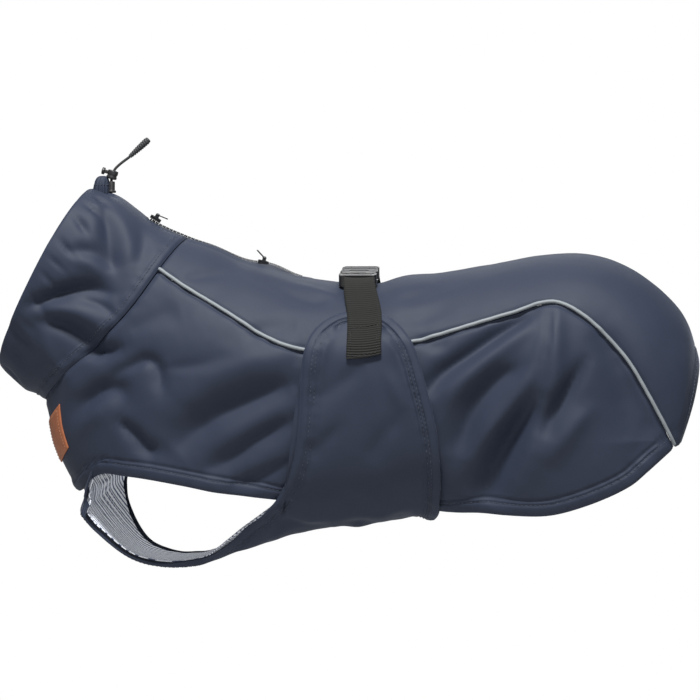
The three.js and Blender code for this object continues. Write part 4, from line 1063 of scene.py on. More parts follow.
def inset_row(surface, side, inset):
    """A sewn row at a steady distance inside the edge, from the strip over the flap and down its rear."""
    edge_at = np.linspace(1.5, BELLY_LAST, 900)[:-1]
    across = np.linspace(1, 0, 400)
    last = np.full(400, float(BELLY_LAST))
    ring, turn = (np.concatenate(pair) for pair in zip(belly_spot(edge_at, 1.0), belly_spot(last, across)))
    inner = (np.concatenate(pair) for pair in zip(belly_spot(edge_at, 0.9), belly_spot(last - 0.5, across)))
    points = bare(ring, turn)
    inward = np.cross(outward(ring, turn), np.gradient(points, axis=0))
    inward /= np.linalg.norm(inward, axis=-1, keepdims=True)
    inward *= inset * np.sign((inward * (bare(*inner) - points)).sum())
    ring_step = (bare(ring + 0.02, turn) - bare(ring - 0.02, turn)) / 0.04
    turn_step = (bare(ring, turn + 0.01) - bare(ring, turn - 0.01)) / 0.02
    long, mixed, wide = ((a * b).sum(axis=-1) for a, b in
                         ((ring_step, ring_step), (ring_step, turn_step), (turn_step, turn_step)))
    on_ring, on_turn = ((inward * step).sum(axis=-1) for step in (ring_step, turn_step))
    share = long * wide - mixed ** 2
    ring = ring + (on_ring * wide - on_turn * mixed) / share
    turn = turn + (on_turn * long - on_ring * mixed) / share
    clear = Line(points).nearest(bare(ring, turn))[0] > inset - 0.5
    return surface(ring[clear], side * turn[clear])


def make_lining():
    stations = np.arange(0, 13.2, 0.1)
    share = np.linspace(0, 1, 30)
    ring, turn = belly_spot(stations[:, None], share)
    lengths = np.linalg.norm(np.diff(bare(ring, turn), axis=1), axis=-1).sum(axis=1)
    limit = 1 - 4.4 / lengths
    for _ in range(12):
        spot_ring, spot_turn = belly_spot(stations, limit)
        over = (stations > 9) & (spot_turn < hem_turn(spot_ring) + 0.1)
        limit = np.where(over, limit * 0.94, limit)
    shares = limit[:, None] * np.linspace(0, 1, 34)
    ring, turn = belly_spot(stations[:, None], shares)
    across = shares * lengths[:, None]
    ring = np.concatenate([ring[:, :0:-1], ring], axis=1)
    turn = np.concatenate([-turn[:, :0:-1], turn], axis=1)
    across = np.concatenate([-across[:, :0:-1], across], axis=1)
    points = bare(ring, turn)
    normal = outward(ring, turn)
    pleats = 0.5 + 0.5 * np.sin(across * 0.9 + 2 * np.sin(across * 0.21))
    front = 1 - smooth(stations, 2.2, 4.6)[:, None]
    wrinkle = 0.5 + 0.5 * ripples(points * (1, 1.4, 1), 9, 21)
    lift = belly_lift(points, turn) - LINING_GAP + 0.15 - 1.5 * pleats * front - 0.9 * wrinkle
    outer = flattened(points + normal * lift[..., None], ring, turn, belly_lift(points, turn) - LINING_GAP)
    middle = points[:, points.shape[1] // 2]
    u = np.concatenate([[0], np.cumsum(np.linalg.norm(np.diff(middle, axis=0), axis=-1))])
    uv = np.stack(np.broadcast_arrays(u[:, None], across + 0.5 * ripples(points, 22, 4)), -1)
    return wall("belly_lining_cloth", outer, outer - normal * 0.8, uv)


# Trims: piping, zip, webbing and label

def make_piping(side):
    rings = np.arange(0.01, SIDE_END + 0.001, 0.03)
    points, normal = body_surface(rings, side * piping_turn(rings), PIPING_RISE + 0.05)
    along = np.cumsum(np.linalg.norm(np.diff(points, axis=0, prepend=points[:1]), axis=1))
    points += normal * (0.12 * np.sin(along * 0.5 + np.sin(along * 0.13)))[:, None]
    centres = resample(points, 1.1)
    ups = np.stack([np.interp(np.linspace(0, 1, len(centres)), np.linspace(0, 1, len(normal)), normal[:, k])
                    for k in range(3)], -1)
    return tube(f"piping_tape_{'near' if side < 0 else 'far'}", centres, PIPING_RADIUS, 12, ups=ups)


def zip_line(low, high, step=0.01):
    rings = np.arange(low, high, step)
    line = bare(rings, np.zeros_like(rings))
    return rings, line, np.concatenate([[0], np.cumsum(np.linalg.norm(np.diff(line, axis=0), axis=1))])


def zip_rise(ring):
    """The chain stands up a little at the withers, where the placket gapes."""
    return 2.6 * np.exp(-((ring - 3.1) / 0.95) ** 2)


def make_zip():
    rings = np.arange(ZIP_TOP + 0.03, ZIP_FOOT - 0.03, 0.04)
    widths = np.array([-4.2, -3.6, -3, -2.4, -1.8, -1.2, -0.4, 0.4, 1.2, 1.8, 2.4, 3, 3.6, 4.2])
    turns = np.sign(widths) * turn_at_width(rings[:, None] * np.ones(len(widths)), np.abs(widths))
    grid = np.broadcast_to(rings[:, None], turns.shape)
    arch = zip_rise(grid) * (1 - smooth(np.abs(widths), 1.6, 4.0))
    points, normal = body_surface(grid, turns, arch - 0.45 + 0.1 * np.cos(widths * 1.4), folded=False)
    tape = wall("zip_tape", points, points - normal * 0.7, cut_lengths(points))
    at_rings, _, lengths = zip_line(ZIP_TOP + 0.06, ZIP_FOOT - 0.08)
    pitch, count = 1.45, int(lengths[-1] / 1.45)
    tooth_points, tooth_faces = [], []
    profile = np.array([(-0.55, -0.5), (0.55, -0.5), (0.55, 0.2), (0.3, 0.5), (-0.3, 0.5), (-0.55, 0.2)])
    for i in range(count):
        ring = np.interp((i + 0.5) * pitch, lengths, at_rings)
        centre, out = body_surface(ring, 0.0, 0.35 + zip_rise(ring), folded=False)
        ahead = unit(bare(ring + 0.02, 0.0) - bare(ring - 0.02, 0.0))
        side = 1 if i % 2 else -1
        start = len(tooth_points)
        for y, scale in ((-0.9, 0.75), (-0.5, 1), (1.4, 1), (2.0, 0.8)):
            for a, h in profile:
                tooth_points.append(centre + ahead * a * 0.92 * scale + out * h * 1.25 * scale
                                    + np.array((0, side * y, 0)))
        order = range(6)
        for layer in range(3):
            for k in order:
                a, b = start + layer * 6 + k, start + layer * 6 + (k + 1) % 6
                quad = (a, b, b + 6, a + 6)
                tooth_faces.append(quad if side > 0 else quad[::-1])
        for base, flip in ((start, side > 0), (start + 18, side < 0)):
            for quad in ((0, 1, 2, 3), (0, 3, 4, 5)):
                face = tuple(base + k for k in quad)
                tooth_faces.append(face[::-1] if flip else face)
    teeth = make_piece("zip_teeth", np.array(tooth_points), [np.array(tooth_faces)])
    return tape, teeth


def slider_matrix(ring):
    _, normal = body_surface(ring, 0.0, 0.0, folded=False)
    place = bare(ring, 0.0) + normal * (SLIDER["lift"] + float(saddle(bare(ring, 0.0))))
    tail = unit(bare(ring + 0.05, 0.0) - bare(ring - 0.05, 0.0))
    across = unit(np.cross(normal, tail))
    matrix = Matrix.Identity(4)
    for axis, vector in enumerate((tail, across, normal)):
        for row in range(3):
            matrix[row][axis] = vector[row]
    matrix.translation = Vector(place + (0, 0, RISE)) * MM
    return matrix


def webbing_x(y):
    return SADDLE["x"] + (8 - SADDLE["x"]) * smooth(np.abs(y), 28, 66)


def make_webbing(side):
    name = "near" if side < 0 else "far"
    tilt = BUCKLE["tilt"]
    reach = BUCKLE["length"] / 2 + 0.3
    mouth_y = BUCKLE["y"] + side * reach * math.cos(tilt)
    mouth_z = BUCKLE["z"] + side * reach * math.sin(tilt)
    turns = np.linspace(0, 1.4, 400)
    start = float(np.interp(abs(mouth_y), bare(ring_at_x(webbing_x(0), turns), turns)[..., 1], turns))
    ground = bare(ring_at_x(webbing_x(mouth_y), start), start)
    start_lift = max(mouth_z - ground[2], 2) + 1.6
    rows = 420
    turn = np.linspace(start, WEBBING["foot"], rows)[:, None]
    across = np.linspace(-0.5, 0.5, 27)[None]
    middle = bare(ring_at_x(webbing_x(40), turn), turn)
    x = webbing_x(middle[..., 1]) + across * WEBBING["width"]
    ring = ring_at_x(x, np.broadcast_to(turn, x.shape))
    turn = np.broadcast_to(turn, x.shape)
    points = bare(ring, turn)
    seated = belly_lift(points, turn) + 1.3 + WEBBING["gap"]
    share = np.linspace(0, 1, rows)[:, None]
    lift = start_lift + (seated - start_lift) * smooth(share, 0.02, 0.4)
    normal = outward(ring, turn)
    length = cut_lengths(points)[..., 0]
    rib = 0.26 * np.sin(2 * math.pi * length / WEBBING["rib"])
    edge = -0.5 * smooth(np.abs(across), 0.44, 0.5)
    sewn = smooth(share, 0.62, 0.64) * (1 - smooth(share, 0.985, 1.0))
    bow = 0.25 * np.sin(share * 21) * (1 - sewn)
    top = points + normal * (lift + WEBBING["thickness"] + rib + edge + bow)[..., None]
    low = points + normal * (lift - 0.1 + rib * 0.6 - edge * 0.6 + bow)[..., None]
    uv = np.stack([length, np.broadcast_to(across * WEBBING["width"], length.shape)], -1)
    mirror = np.array((1, side, 1))
    top, low, normal = top * mirror, low * mirror, normal * mirror
    strap = wall(f"webbing_strap_{name}", top, low, uv)
    first, last = int(0.66 * rows), int(0.975 * rows)
    box = [(top[first:last, column], normal[first:last, column]) for column in (3, 23)]
    box += [(top[row, 3:24], normal[row, 3:24]) for row in (first, last)]
    return strap, stitches(f"webbing_stitches_{name}", box, pitch=2.4, radius=0.3)


def make_label():
    front = np.linspace(0, CHEST_HEM, 400)
    height = bare(front, np.full(400, math.pi))[:, 2]
    top = float(np.interp(-LABEL["top"], -height, front))
    rise = np.linalg.norm(bare(top, math.pi) - bare(top + 0.1, math.pi)) / 0.1
    across = np.concatenate([[0, 0.4, 0.9], np.linspace(1.5, LABEL["width"] - 1.5, 24),
                             [LABEL["width"] - 0.9, LABEL["width"] - 0.4, LABEL["width"]]])
    down = np.concatenate([[0, 0.4, 0.9], np.linspace(1.5, LABEL["length"] - 1.5, 44),
                           [LABEL["length"] - 0.9, LABEL["length"] - 0.4, LABEL["length"]]])
    rings = (top + down / rise)[:, None]
    widths = LABEL["edge"] + across[None]
    rings, widths = np.broadcast_arrays(rings, widths)
    turns = -(math.pi - keel_turn_at_width(rings, widths))
    rim = np.minimum(np.minimum(across, LABEL["width"] - across)[None],
                     np.minimum(down, LABEL["length"] - down)[:, None])
    thick = LABEL["thickness"] - 0.4 * (1 - smooth(rim, 0, 1.0)) - 0.16 * np.exp(-((rim - 2.1) / 0.45) ** 2)
    spots = np.stack([down[:, None] + 0 * rim, across[None] + 0 * rim, 0 * rim], -1)
    thick = thick + 0.07 * ripples(spots, 3, 6)
    base, normal = body_surface(rings, turns, 0.3)
    outer = base + normal * thick[..., None]
    uv = np.stack(np.broadcast_arrays(down[:, None], across[None]), -1)
    label = wall("label_patch", outer, base - normal * 0.25, uv)
    inset = [(outer[a, b], normal[a, b]) for a, b in
             ((4, slice(4, -4)), (-5, slice(4, -4)), (slice(4, -4), 4), (slice(4, -4), -5))]
    return label, stitches("label_stitches", inset, pitch=2.2, radius=0.24)


# Hard pieces, modelled in their own frame and then set in place

def deselect():
    bpy.ops.object.select_all(action="DESELECT")


def add_box(name, size, at=(0, 0, 0)):
    deselect()
    bpy.ops.mesh.primitive_cube_add(size=1, location=Vector(at) * MM)
    piece = bpy.context.object
    piece.name = name
    piece.scale = Vector(size) * MM
    bpy.ops.object.transform_apply(location=True, rotation=True, scale=True)
    return piece


def add_rod(name, radius, depth, at=(0, 0, 0), turn=(0, 0, 0), sides=32):
    deselect()
    bpy.ops.mesh.primitive_cylinder_add(vertices=sides, radius=radius * MM, depth=depth * MM,
                                        location=Vector(at) * MM, rotation=turn)
    piece = bpy.context.object
    piece.name = name
    bpy.ops.object.transform_apply(location=True, rotation=True, scale=True)
    return piece


def edit(piece):
    deselect()
    bpy.context.view_layer.objects.active = piece
    piece.select_set(True)
    bpy.ops.object.mode_set(mode="EDIT")


def leave():
    bpy.ops.object.mode_set(mode="OBJECT")


def pick(kind, test):
    """Selects the faces, edges or points of the piece in hand whose middle and normal pass the test."""
    bpy.ops.mesh.select_mode(type=kind)
    bpy.ops.mesh.select_all(action="DESELECT")
    work = bmesh.from_edit_mesh(bpy.context.edit_object.data)
    for item in {"FACE": work.faces, "EDGE": work.edges, "VERT": work.verts}[kind]:
        if kind == "FACE":
            middle, normal = item.calc_center_median(), item.normal
        elif kind == "EDGE":
            first, second = (vert.co for vert in item.verts)
            middle, normal = (first + second) / 2, (second - first).normalized()
        else:
            middle, normal = item.co, item.normal
        item.select_set(bool(test(middle / MM, normal)))
    work.select_flush_mode()
    bmesh.update_edit_mesh(bpy.context.edit_object.data)


def inset(width, depth=0.0):
    bpy.ops.mesh.inset(thickness=width * MM, depth=depth * MM)


def bevel(width, segments=3):
    bpy.ops.mesh.bevel(offset=width * MM, segments=segments, affect="EDGES", clamp_overlap=True)


def push(vector):
    bpy.ops.mesh.extrude_region_move(TRANSFORM_OT_translate={"value": Vector(vector) * MM})


def widen(scale):
    bpy.ops.transform.resize(value=scale)


def round_edges(piece, width, segments=3, angle=35):
    deselect()
    bpy.context.view_layer.objects.active = piece
    piece.select_set(True)
    rounding = piece.modifiers.new("rounding", "BEVEL")
    rounding.width = width * MM
    rounding.segments = segments
    rounding.limit_method = "ANGLE"
    rounding.angle_limit = math.radians(angle)
    rounding.harden_normals = False
    bpy.ops.object.modifier_apply(modifier="rounding")


def cut(piece, tool, operation="DIFFERENCE"):
    deselect()
    bpy.context.view_layer.objects.active = piece
    piece.select_set(True)
    step = piece.modifiers.new("cut", "BOOLEAN")
    step.operation = operation
    step.solver = "EXACT"
    step.object = tool
    bpy.ops.object.modifier_apply(modifier="cut")
    bpy.data.objects.remove(tool)


def finish_hard(piece, matrix=None, angle=32):
    edit(piece)
    bpy.ops.mesh.select_all(action="SELECT")
    bpy.ops.mesh.remove_doubles(threshold=0.00001)
    bpy.ops.mesh.normals_make_consistent(inside=False)
    leave()
    if matrix is not None:
        piece.data.transform(matrix)
    deselect()
    piece.select_set(True)
    bpy.context.view_layer.objects.active = piece
    bpy.ops.object.shade_smooth_by_angle(angle=math.radians(angle))
    return piece


def at_place(x, y, z):
    return Matrix.Translation(Vector((x, y, z + RISE)) * MM)


def buckle_matrix():
    tilt = Matrix.Rotation(math.asin(BUCKLE["tilt"]), 4, "X")
    return at_place(BUCKLE["x"], BUCKLE["y"], BUCKLE["z"]) @ tilt


def make_buckle_socket():
    """The socket: a rounded box, waisted at the finger windows, with mouth, windows and strap slot cut."""
    width, length, thickness = BUCKLE["width"], BUCKLE["length"], BUCKLE["thickness"]
    near, long = -length / 2, 26
    middle = near + long / 2
    socket = add_box("buckle_socket_body", (width, long, thickness), (0, middle, 0))
    edit(socket)
    pick("EDGE", lambda m, d: abs(d.z) > 0.9)
    bevel(3.6, 6)
    pick("FACE", lambda m, n: n.z > 0.9)
    inset(1.2, 0.0)
    inset(1.1, 0.5)
    leave()
    cut(socket, add_box("mouth", (width - 4, 17, thickness - 3.4), (0, near + long - 8, 0)))
    cut(socket, add_box("slot", (23.5, 3, 20), (0, near + 5, 0)))
    for side in (-1, 1):
        window = add_box("window", (5, 9, thickness - 3.4), (side * (width / 2 - 1.2), middle + 2, 0))
        edit(window)
        pick("EDGE", lambda m, d: abs(d.x) > 0.9)
        bevel(1.4, 4)
        leave()
        cut(socket, window)
        groove = add_rod("groove", 6, 30, (side * (width / 2 + 4.6), middle + 2, 0), sides=48)
        cut(socket, groove)
    recess = add_box("recess", (14, 9, 2), (0, near + long - 7, thickness / 2 + 1.1))
    edit(recess)
    pick("EDGE", lambda m, d: abs(d.z) > 0.9)
    bevel(2.4, 5)
    leave()
    cut(socket, recess)
    for row in range(3):
        groove = add_box("groove", (11, 0.9, 2), (0, near + 8.8 + 2.2 * row, thickness / 2 + 1.1))
        cut(socket, groove)
    round_edges(socket, 0.45, 3)
    return finish_hard(socket, buckle_matrix())


def make_buckle_plug():
    """The plug: its strap bars, raised collar and three prongs that reach into the socket."""
    width, length, thickness = BUCKLE["width"], BUCKLE["length"], BUCKLE["thickness"]
    start = -length / 2 + 26 + 0.3
    base = length / 2 - start
    plug = add_box("buckle_plug_body", (width, base, thickness - 1), (0, start + base / 2, 0))
    edit(plug)
    pick("EDGE", lambda m, d: abs(d.z) > 0.9 and m.y > start + 1)
    bevel(3.4, 6)
    pick("EDGE", lambda m, d: abs(d.z) > 0.9 and m.y < start + 1)
    bevel(1.6, 3)
    pick("FACE", lambda m, n: n.z > 0.9)
    inset(0.8, 0.0)
    inset(0.7, 0.45)
    leave()
    for back in (5, 12):
        cut(plug, add_box("slot", (23.5, 3, 20), (0, length / 2 - back, 0)))
    for side in (-1, 1):
        grip = add_rod("grip", 9, 30, (side * (width / 2 + 8.2), start + 8.5, 0), sides=48)
        cut(plug, grip)
    for side in (-1, 0, 1):
        wide = 5 if side else 4
        prong = add_box("prong", (wide, 15, thickness - 4.4),
                        (side * (width / 2 - 5.5), start + 0.75 - 7.2, 0))
        edit(prong)
        pick("FACE", lambda m, n: n.y < -0.9)
        widen((0.62, 1, 0.7))
        leave()
        cut(plug, prong, "UNION")
    round_edges(plug, 0.4, 3)
    return finish_hard(plug, buckle_matrix())


def make_slider(name, ring):
    """A zip slider: two shaped plates joined at the nose, side lips, and a bridge that carries the pull."""
    length, width, height, bar = (SLIDER[k] for k in ("length", "width", "height", "bar"))
    body = add_box(f"zip_slider_{name}_body", (length, width, height), (0, 0, height / 2))
    edit(body)
    pick("FACE", lambda m, n: n.x > 0.9)
    widen((1, 0.68, 1))
    pick("EDGE", lambda m, d: abs(d.z) > 0.9)
    bevel(1.1, 4)
    pick("FACE", lambda m, n: n.z > 0.9)
    inset(0.7, 0.0)
    inset(0.5, 0.22)
    leave()
    cut(body, add_box("chain_way", (length + 4, 2.2, 0.9), (0, 0, height / 2)))
    for side in (-1, 1):
        cut(body, add_box("tape_way", (length + 4, 2.4, 0.5), (0, side * (width / 2), height / 2)))
    cut(body, add_box("nose_notch", (2.4, 1.0, 6), (length / 2 - 0.7, 0, height / 2)))
    for side in (-1, 1):
        post = add_box("post", (2.2, 0.8, bar + 0.7), (0, side * 2.2, height + bar / 2 + 0.05))
        edit(post)
        pick("EDGE", lambda m, d: abs(d.y) > 0.9 and m.z > height + 1)
        bevel(0.8, 4)
        leave()
        cut(body, post, "UNION")
    pin = add_rod("pin", 0.5, 5.2, (0, 0, height + bar), (math.pi / 2, 0, 0), 20)
    cut(body, pin, "UNION")
    round_edges(body, 0.16, 2)
    return finish_hard(body, slider_matrix(ring))


def make_pull(name, ring, rest):
    """A zip pull: an eye round the bar, a neck, and a flat tab with a slot and a raised rim."""
    tab = add_box(f"zip_pull_{name}_tab", (6, 3.8, 0.8), (5, 0, 0))
    edit(tab)
    pick("EDGE", lambda m, d: abs(d.z) > 0.9 and m.x > 5)
    bevel(1.3, 5)
    pick("EDGE", lambda m, d: abs(d.z) > 0.9 and m.x < 5)
    bevel(0.7, 4)
    for up in (1, -1):
        pick("FACE", lambda m, n: n.z * up > 0.9)
        inset(0.35, 0.0)
        inset(0.15, -0.14)
    leave()
    cut(tab, add_box("neck", (3, 2.8, 0.8), (1.6, 0, 0)), "UNION")
    cut(tab, add_rod("eye", 1.3, 3, (0, 0, 0), (math.pi / 2, 0, 0), 28), "UNION")
    cut(tab, add_rod("bore", 0.8, 8, (0, 0, 0), (math.pi / 2, 0, 0), 24))
    hole = add_box("hole", (2.2, 1.5, 4), (5.8, 0, 0))
    edit(hole)
    pick("EDGE", lambda m, d: abs(d.z) > 0.9)
    bevel(0.7, 4)
    leave()
    cut(tab, hole)
    round_edges(tab, 0.16, 2)
    matrix = slider_matrix(ring) @ Matrix.Translation(Vector((0, 0, SLIDER["height"] + SLIDER["bar"])) * MM)
    return finish_hard(tab, matrix @ Matrix.Rotation(-rest, 4, "Y"))


def lock_matrix():
    x, y, z = LOCK["at"]
    return at_place(x, y, z) @ Matrix.Rotation(LOCK["lean"], 4, "Y")


def make_lock():
    """The cord lock: a small barrel, waisted, with its bore for the cord and a window for the button."""
    radius, height, bore = LOCK["radius"], LOCK["height"], LOCK["bore"]
    barrel = add_rod("cord_lock_barrel", radius, height, sides=40)
    edit(barrel)
    for up in (1, -1):
        pick("FACE", lambda m, n: n.z * up > 0.9)
        inset(0.7, 0.0)
        inset(0.9, 0.28)
    pick("EDGE", lambda m, d: (abs(d.z) < 0.1 and abs(abs(m.z) - height / 2) < 0.05
                               and math.hypot(m.x, m.y) > radius - 0.1))
    bevel(0.9, 4)
    leave()
    waist = add_rod("waist_tool", radius + 3, 1.5, (0, 0, -0.6), sides=40)
    cut(waist, add_rod("waist_core", radius - 0.35, 4, (0, 0, -0.6), sides=40))
    cut(barrel, waist)
    cut(barrel, add_rod("bore", bore, 20, sides=28))
    cut(barrel, add_box("button_way", (4, 3.4, 3.4), (-radius, 0, 1)))
    round_edges(barrel, 0.15, 2)
    return finish_hard(barrel, lock_matrix())


def make_button():
    """The lock's button: a square stem with a round, dished head."""
    head = add_rod("cord_lock_button", 2.6, 1.8, (-2.3, 0, 0), (0, math.pi / 2, 0), 32)
    edit(head)
    pick("FACE", lambda m, n: n.x < -0.9)
    inset(0.5, 0.0)
    inset(0.8, -0.25)
    leave()
    cut(head, add_box("stem", (3.2, 2.6, 2.6)), "UNION")
    round_edges(head, 0.2, 2)
    return finish_hard(head, lock_matrix() @ Matrix.Translation(Vector((-LOCK["radius"] - 0.9, 0, 1)) * MM))


def make_eyelet():
    """The eyelet: a rolled flange and a short sleeve round the cord."""
    eyelet = add_rod("cord_eyelet_ring", 3.3, 1.6, (0, 0, 0.8), sides=36)
    edit(eyelet)
    pick("FACE", lambda m, n: n.z > 0.9)
    inset(0.8, 0.0)
    push((0, 0, 6.6))
    leave()
    cut(eyelet, add_rod("bore", 1.35, 30, sides=28))
    round_edges(eyelet, 0.3, 3)
    return finish_hard(eyelet, at_place(-183, 0, 65))


def make_grip():
    """The grip at the cord's end: a stub with ribs that grow towards its blunt end."""
    length, ribs = GRIP["length"], GRIP["ribs"]
    grip = add_rod("cord_grip_stub", 1.5, 1.6, (0, 0, 0.8), sides=32)
    edit(grip)
    pick("FACE", lambda m, n: n.z > 0.9)
    pitch = (length - 3.2) / ribs
    for i in range(ribs):
        wide = 1.62 + 0.95 * math.sin(0.5 * math.pi * (i + 1) / ribs)
        waist = wide - 0.42
        now = 1.5 if i == 0 else last
        for height, radius in ((0.12, wide - 0.12), (pitch * 0.22, wide), (pitch * 0.4, wide),
                               (0.14, wide - 0.14), (0.1, waist)):
            push((0, 0, height))
            widen((radius / now, radius / now, 1))
            now = radius
        push((0, 0, pitch * 0.38 - 0.36 if pitch * 0.38 > 0.5 else 0.14))
        last = now
    for height, radius in ((0.5, 2.3), (0.7, 2.0), (0.35, 1.4)):
        push((0, 0, height))
        widen((radius / last, radius / last, 1))
        last = radius
    leave()
    direction = Vector(GRIP["direction"]).normalized()
    turn = Vector((0, 0, 1)).rotation_difference(direction).to_matrix().to_4x4()
    return finish_hard(grip, at_place(*GRIP["from"]) @ turn, 50)


# The tab at the nape: the collar's hem gathered into a small pouch beside the eyelet

def make_nape_tab():
    """A small pouch with rounded sides, gathered into upright pleats."""
    around = np.linspace(-math.pi, math.pi, 96, endpoint=False)[None]
    share = np.linspace(0, 1, 34)[:, None]
    up = np.sin(share * math.pi / 2)
    shrink = np.maximum(np.cos(share * math.pi / 2), 0.03) ** 0.45 * (1 - 0.12 * share)
    boxed = (np.abs(np.cos(around)) ** 3.2 + np.abs(np.sin(around)) ** 3.2) ** (-1 / 3.2)
    pleat = 1 + 0.055 * np.sin(around * 15 + 1.2 * np.sin(around * 2)) * (1 - 0.6 * share)
    radius = boxed * shrink * pleat
    lean = 1.6 * share
    points = np.stack([TAB["x"] + lean + 0.56 * TAB["width"] * np.cos(around) * radius,
                       0.42 * TAB["depth"] * np.sin(around) * radius,
                       TAB["z"] - 5 + (TAB["height"] + 5) * up + 0 * around], -1)
    points = points + 0.3 * ripples(points, 5, 12)[..., None] * (1, 1, 0)
    middle = np.array((TAB["x"], 0, TAB["z"] - 1))
    inner = middle + (points - middle) * 0.82
    tab = wall("nape_tab_cloth", points, inner, cut_lengths(points), closed=True)
    normal = unit(points - middle)
    rows = [(np.concatenate([points[row], points[row, :1]]), np.concatenate([normal[row], normal[row, :1]]))
            for row in (12,)]
    return tab, stitches("nape_tab_stitches", rows, pitch=2.2, radius=0.24)


# Finishes

def math_node(tree, operation, first, second=None, clamp=False):
    node = tree.nodes.new("ShaderNodeMath")
    node.operation = operation
    node.use_clamp = clamp
    for socket, value in zip(node.inputs, (first, second)):
        if isinstance(value, (int, float)):
            socket.default_value = value
        elif value is not None:
            tree.links.new(value, socket)
    return node.outputs[0]


def new_group(name, inputs, outputs):
    group = bpy.data.node_groups.new(name, "ShaderNodeTree")
    for label, kind, value in inputs:
        socket = group.interface.new_socket(name=label, in_out="INPUT", socket_type=kind)
        socket.default_value = value
    for label, kind in outputs:
        group.interface.new_socket(name=label, in_out="OUTPUT", socket_type=kind)
    given = group.nodes.new("NodeGroupInput")
    result = group.nodes.new("NodeGroupOutput")
    return group, given, result


def weave_group():
    """Crossing threads on the cut's own lengths, as a height."""
    group, given, result = new_group("woven threads", [("Pitch", "NodeSocketFloat", 0.0004),
                                                       ("Slubs", "NodeSocketFloat", 0.3)],
                                     [("Height", "NodeSocketFloat")])
    cut_map = group.nodes.new("ShaderNodeUVMap")
    cut_map.uv_map = "cut"
    parts = group.nodes.new("ShaderNodeSeparateXYZ")
    group.links.new(cut_map.outputs["UV"], parts.inputs[0])
    waves = []
    for axis in ("X", "Y"):
        turns = math_node(group, "DIVIDE", parts.outputs[axis], given.outputs["Pitch"])
        angle = math_node(group, "MULTIPLY", turns, 2 * math.pi)
        waves.append(math_node(group, "SINE", angle))
    crossing = math_node(group, "MULTIPLY", waves[0], waves[1])
    slub = group.nodes.new("ShaderNodeTexNoise")
    slub.inputs["Scale"].default_value = 900
    slub.inputs["Detail"].default_value = 2
    group.links.new(cut_map.outputs["UV"], slub.inputs["Vector"])
    uneven = math_node(group, "MULTIPLY", slub.outputs["Fac"], given.outputs["Slubs"])
    height = math_node(group, "ADD", math_node(group, "MULTIPLY", crossing, 0.5), uneven)
    group.links.new(height, result.inputs["Height"])
    return group


def patina_group():
    """Soft unevenness of a finish over its surface: a tone to mix by and a roughness."""
    group, given, result = new_group(
        "uneven finish",
        [("Size", "NodeSocketFloat", 0.02), ("Amount", "NodeSocketFloat", 0.2),
         ("Roughness", "NodeSocketFloat", 0.5)],
        [("Tone", "NodeSocketFloat"), ("Roughness", "NodeSocketFloat")])
    place = group.nodes.new("ShaderNodeTexCoord")
    scale = math_node(group, "DIVIDE", 1.0, given.outputs["Size"])
    broad = group.nodes.new("ShaderNodeTexNoise")
    broad.inputs["Detail"].default_value = 3
    group.links.new(place.outputs["Object"], broad.inputs["Vector"])
    group.links.new(scale, broad.inputs["Scale"])
    fine = group.nodes.new("ShaderNodeTexNoise")
    fine.inputs["Detail"].default_value = 2
    group.links.new(place.outputs["Object"], fine.inputs["Vector"])
    group.links.new(math_node(group, "MULTIPLY", scale, 9), fine.inputs["Scale"])
    both = math_node(group, "ADD", math_node(group, "MULTIPLY", broad.outputs["Fac"], 0.7),
                     math_node(group, "MULTIPLY", fine.outputs["Fac"], 0.3))
    swing = math_node(group, "SUBTRACT", both, 0.5)
    swung = math_node(group, "MULTIPLY", swing, given.outputs["Amount"])
    tone = math_node(group, "ADD", swung, 0.5, clamp=True)
    group.links.new(tone, result.inputs["Tone"])
    rough = math_node(group, "ADD", given.outputs["Roughness"], math_node(group, "MULTIPLY", swing, 0.16))
    group.links.new(rough, result.inputs["Roughness"])
    return group


def stripe_group():
    """Fine lines along one direction of the cut, with slightly uneven edges."""
    group, given, result = new_group(
        "fine stripes", [("Pitch", "NodeSocketFloat", 0.0026), ("Share", "NodeSocketFloat", 0.4)],
        [("Mask", "NodeSocketFloat")])
    cut_map = group.nodes.new("ShaderNodeUVMap")
    cut_map.uv_map = "cut"
    parts = group.nodes.new("ShaderNodeSeparateXYZ")
    group.links.new(cut_map.outputs["UV"], parts.inputs[0])
    rag = group.nodes.new("ShaderNodeTexNoise")
    rag.inputs["Scale"].default_value = 700
    group.links.new(cut_map.outputs["UV"], rag.inputs["Vector"])
    turns = math_node(group, "DIVIDE", parts.outputs["Y"], given.outputs["Pitch"])
    turns = math_node(group, "ADD", turns, math_node(group, "MULTIPLY", rag.outputs["Fac"], 0.22))
    share = math_node(group, "ABSOLUTE", math_node(group, "SUBTRACT", math_node(group, "FRACT", turns), 0.5))
    edge = math_node(group, "SUBTRACT", math_node(group, "MULTIPLY", given.outputs["Share"], 0.5), share)
    mask = math_node(group, "ADD", math_node(group, "MULTIPLY", edge, 14), 0.5, clamp=True)
    group.links.new(mask, result.inputs["Mask"])
    return group


def braid_group():
    """Strands that cross over each other round a cord."""
    group, given, result = new_group("braided strands", [("Pitch", "NodeSocketFloat", 0.0012)],
                                     [("Height", "NodeSocketFloat")])
    cut_map = group.nodes.new("ShaderNodeUVMap")
    cut_map.uv_map = "cut"
    parts = group.nodes.new("ShaderNodeSeparateXYZ")
    group.links.new(cut_map.outputs["UV"], parts.inputs[0])
    waves = []
    for operation in ("ADD", "SUBTRACT"):
        slant = math_node(group, operation, parts.outputs["X"], parts.outputs["Y"])
        turns = math_node(group, "DIVIDE", slant, given.outputs["Pitch"])
        angle = math_node(group, "MULTIPLY", turns, 2 * math.pi)
        waves.append(math_node(group, "SINE", angle))
    height = math_node(group, "MAXIMUM", waves[0], waves[1])
    group.links.new(height, result.inputs["Height"])
    return group


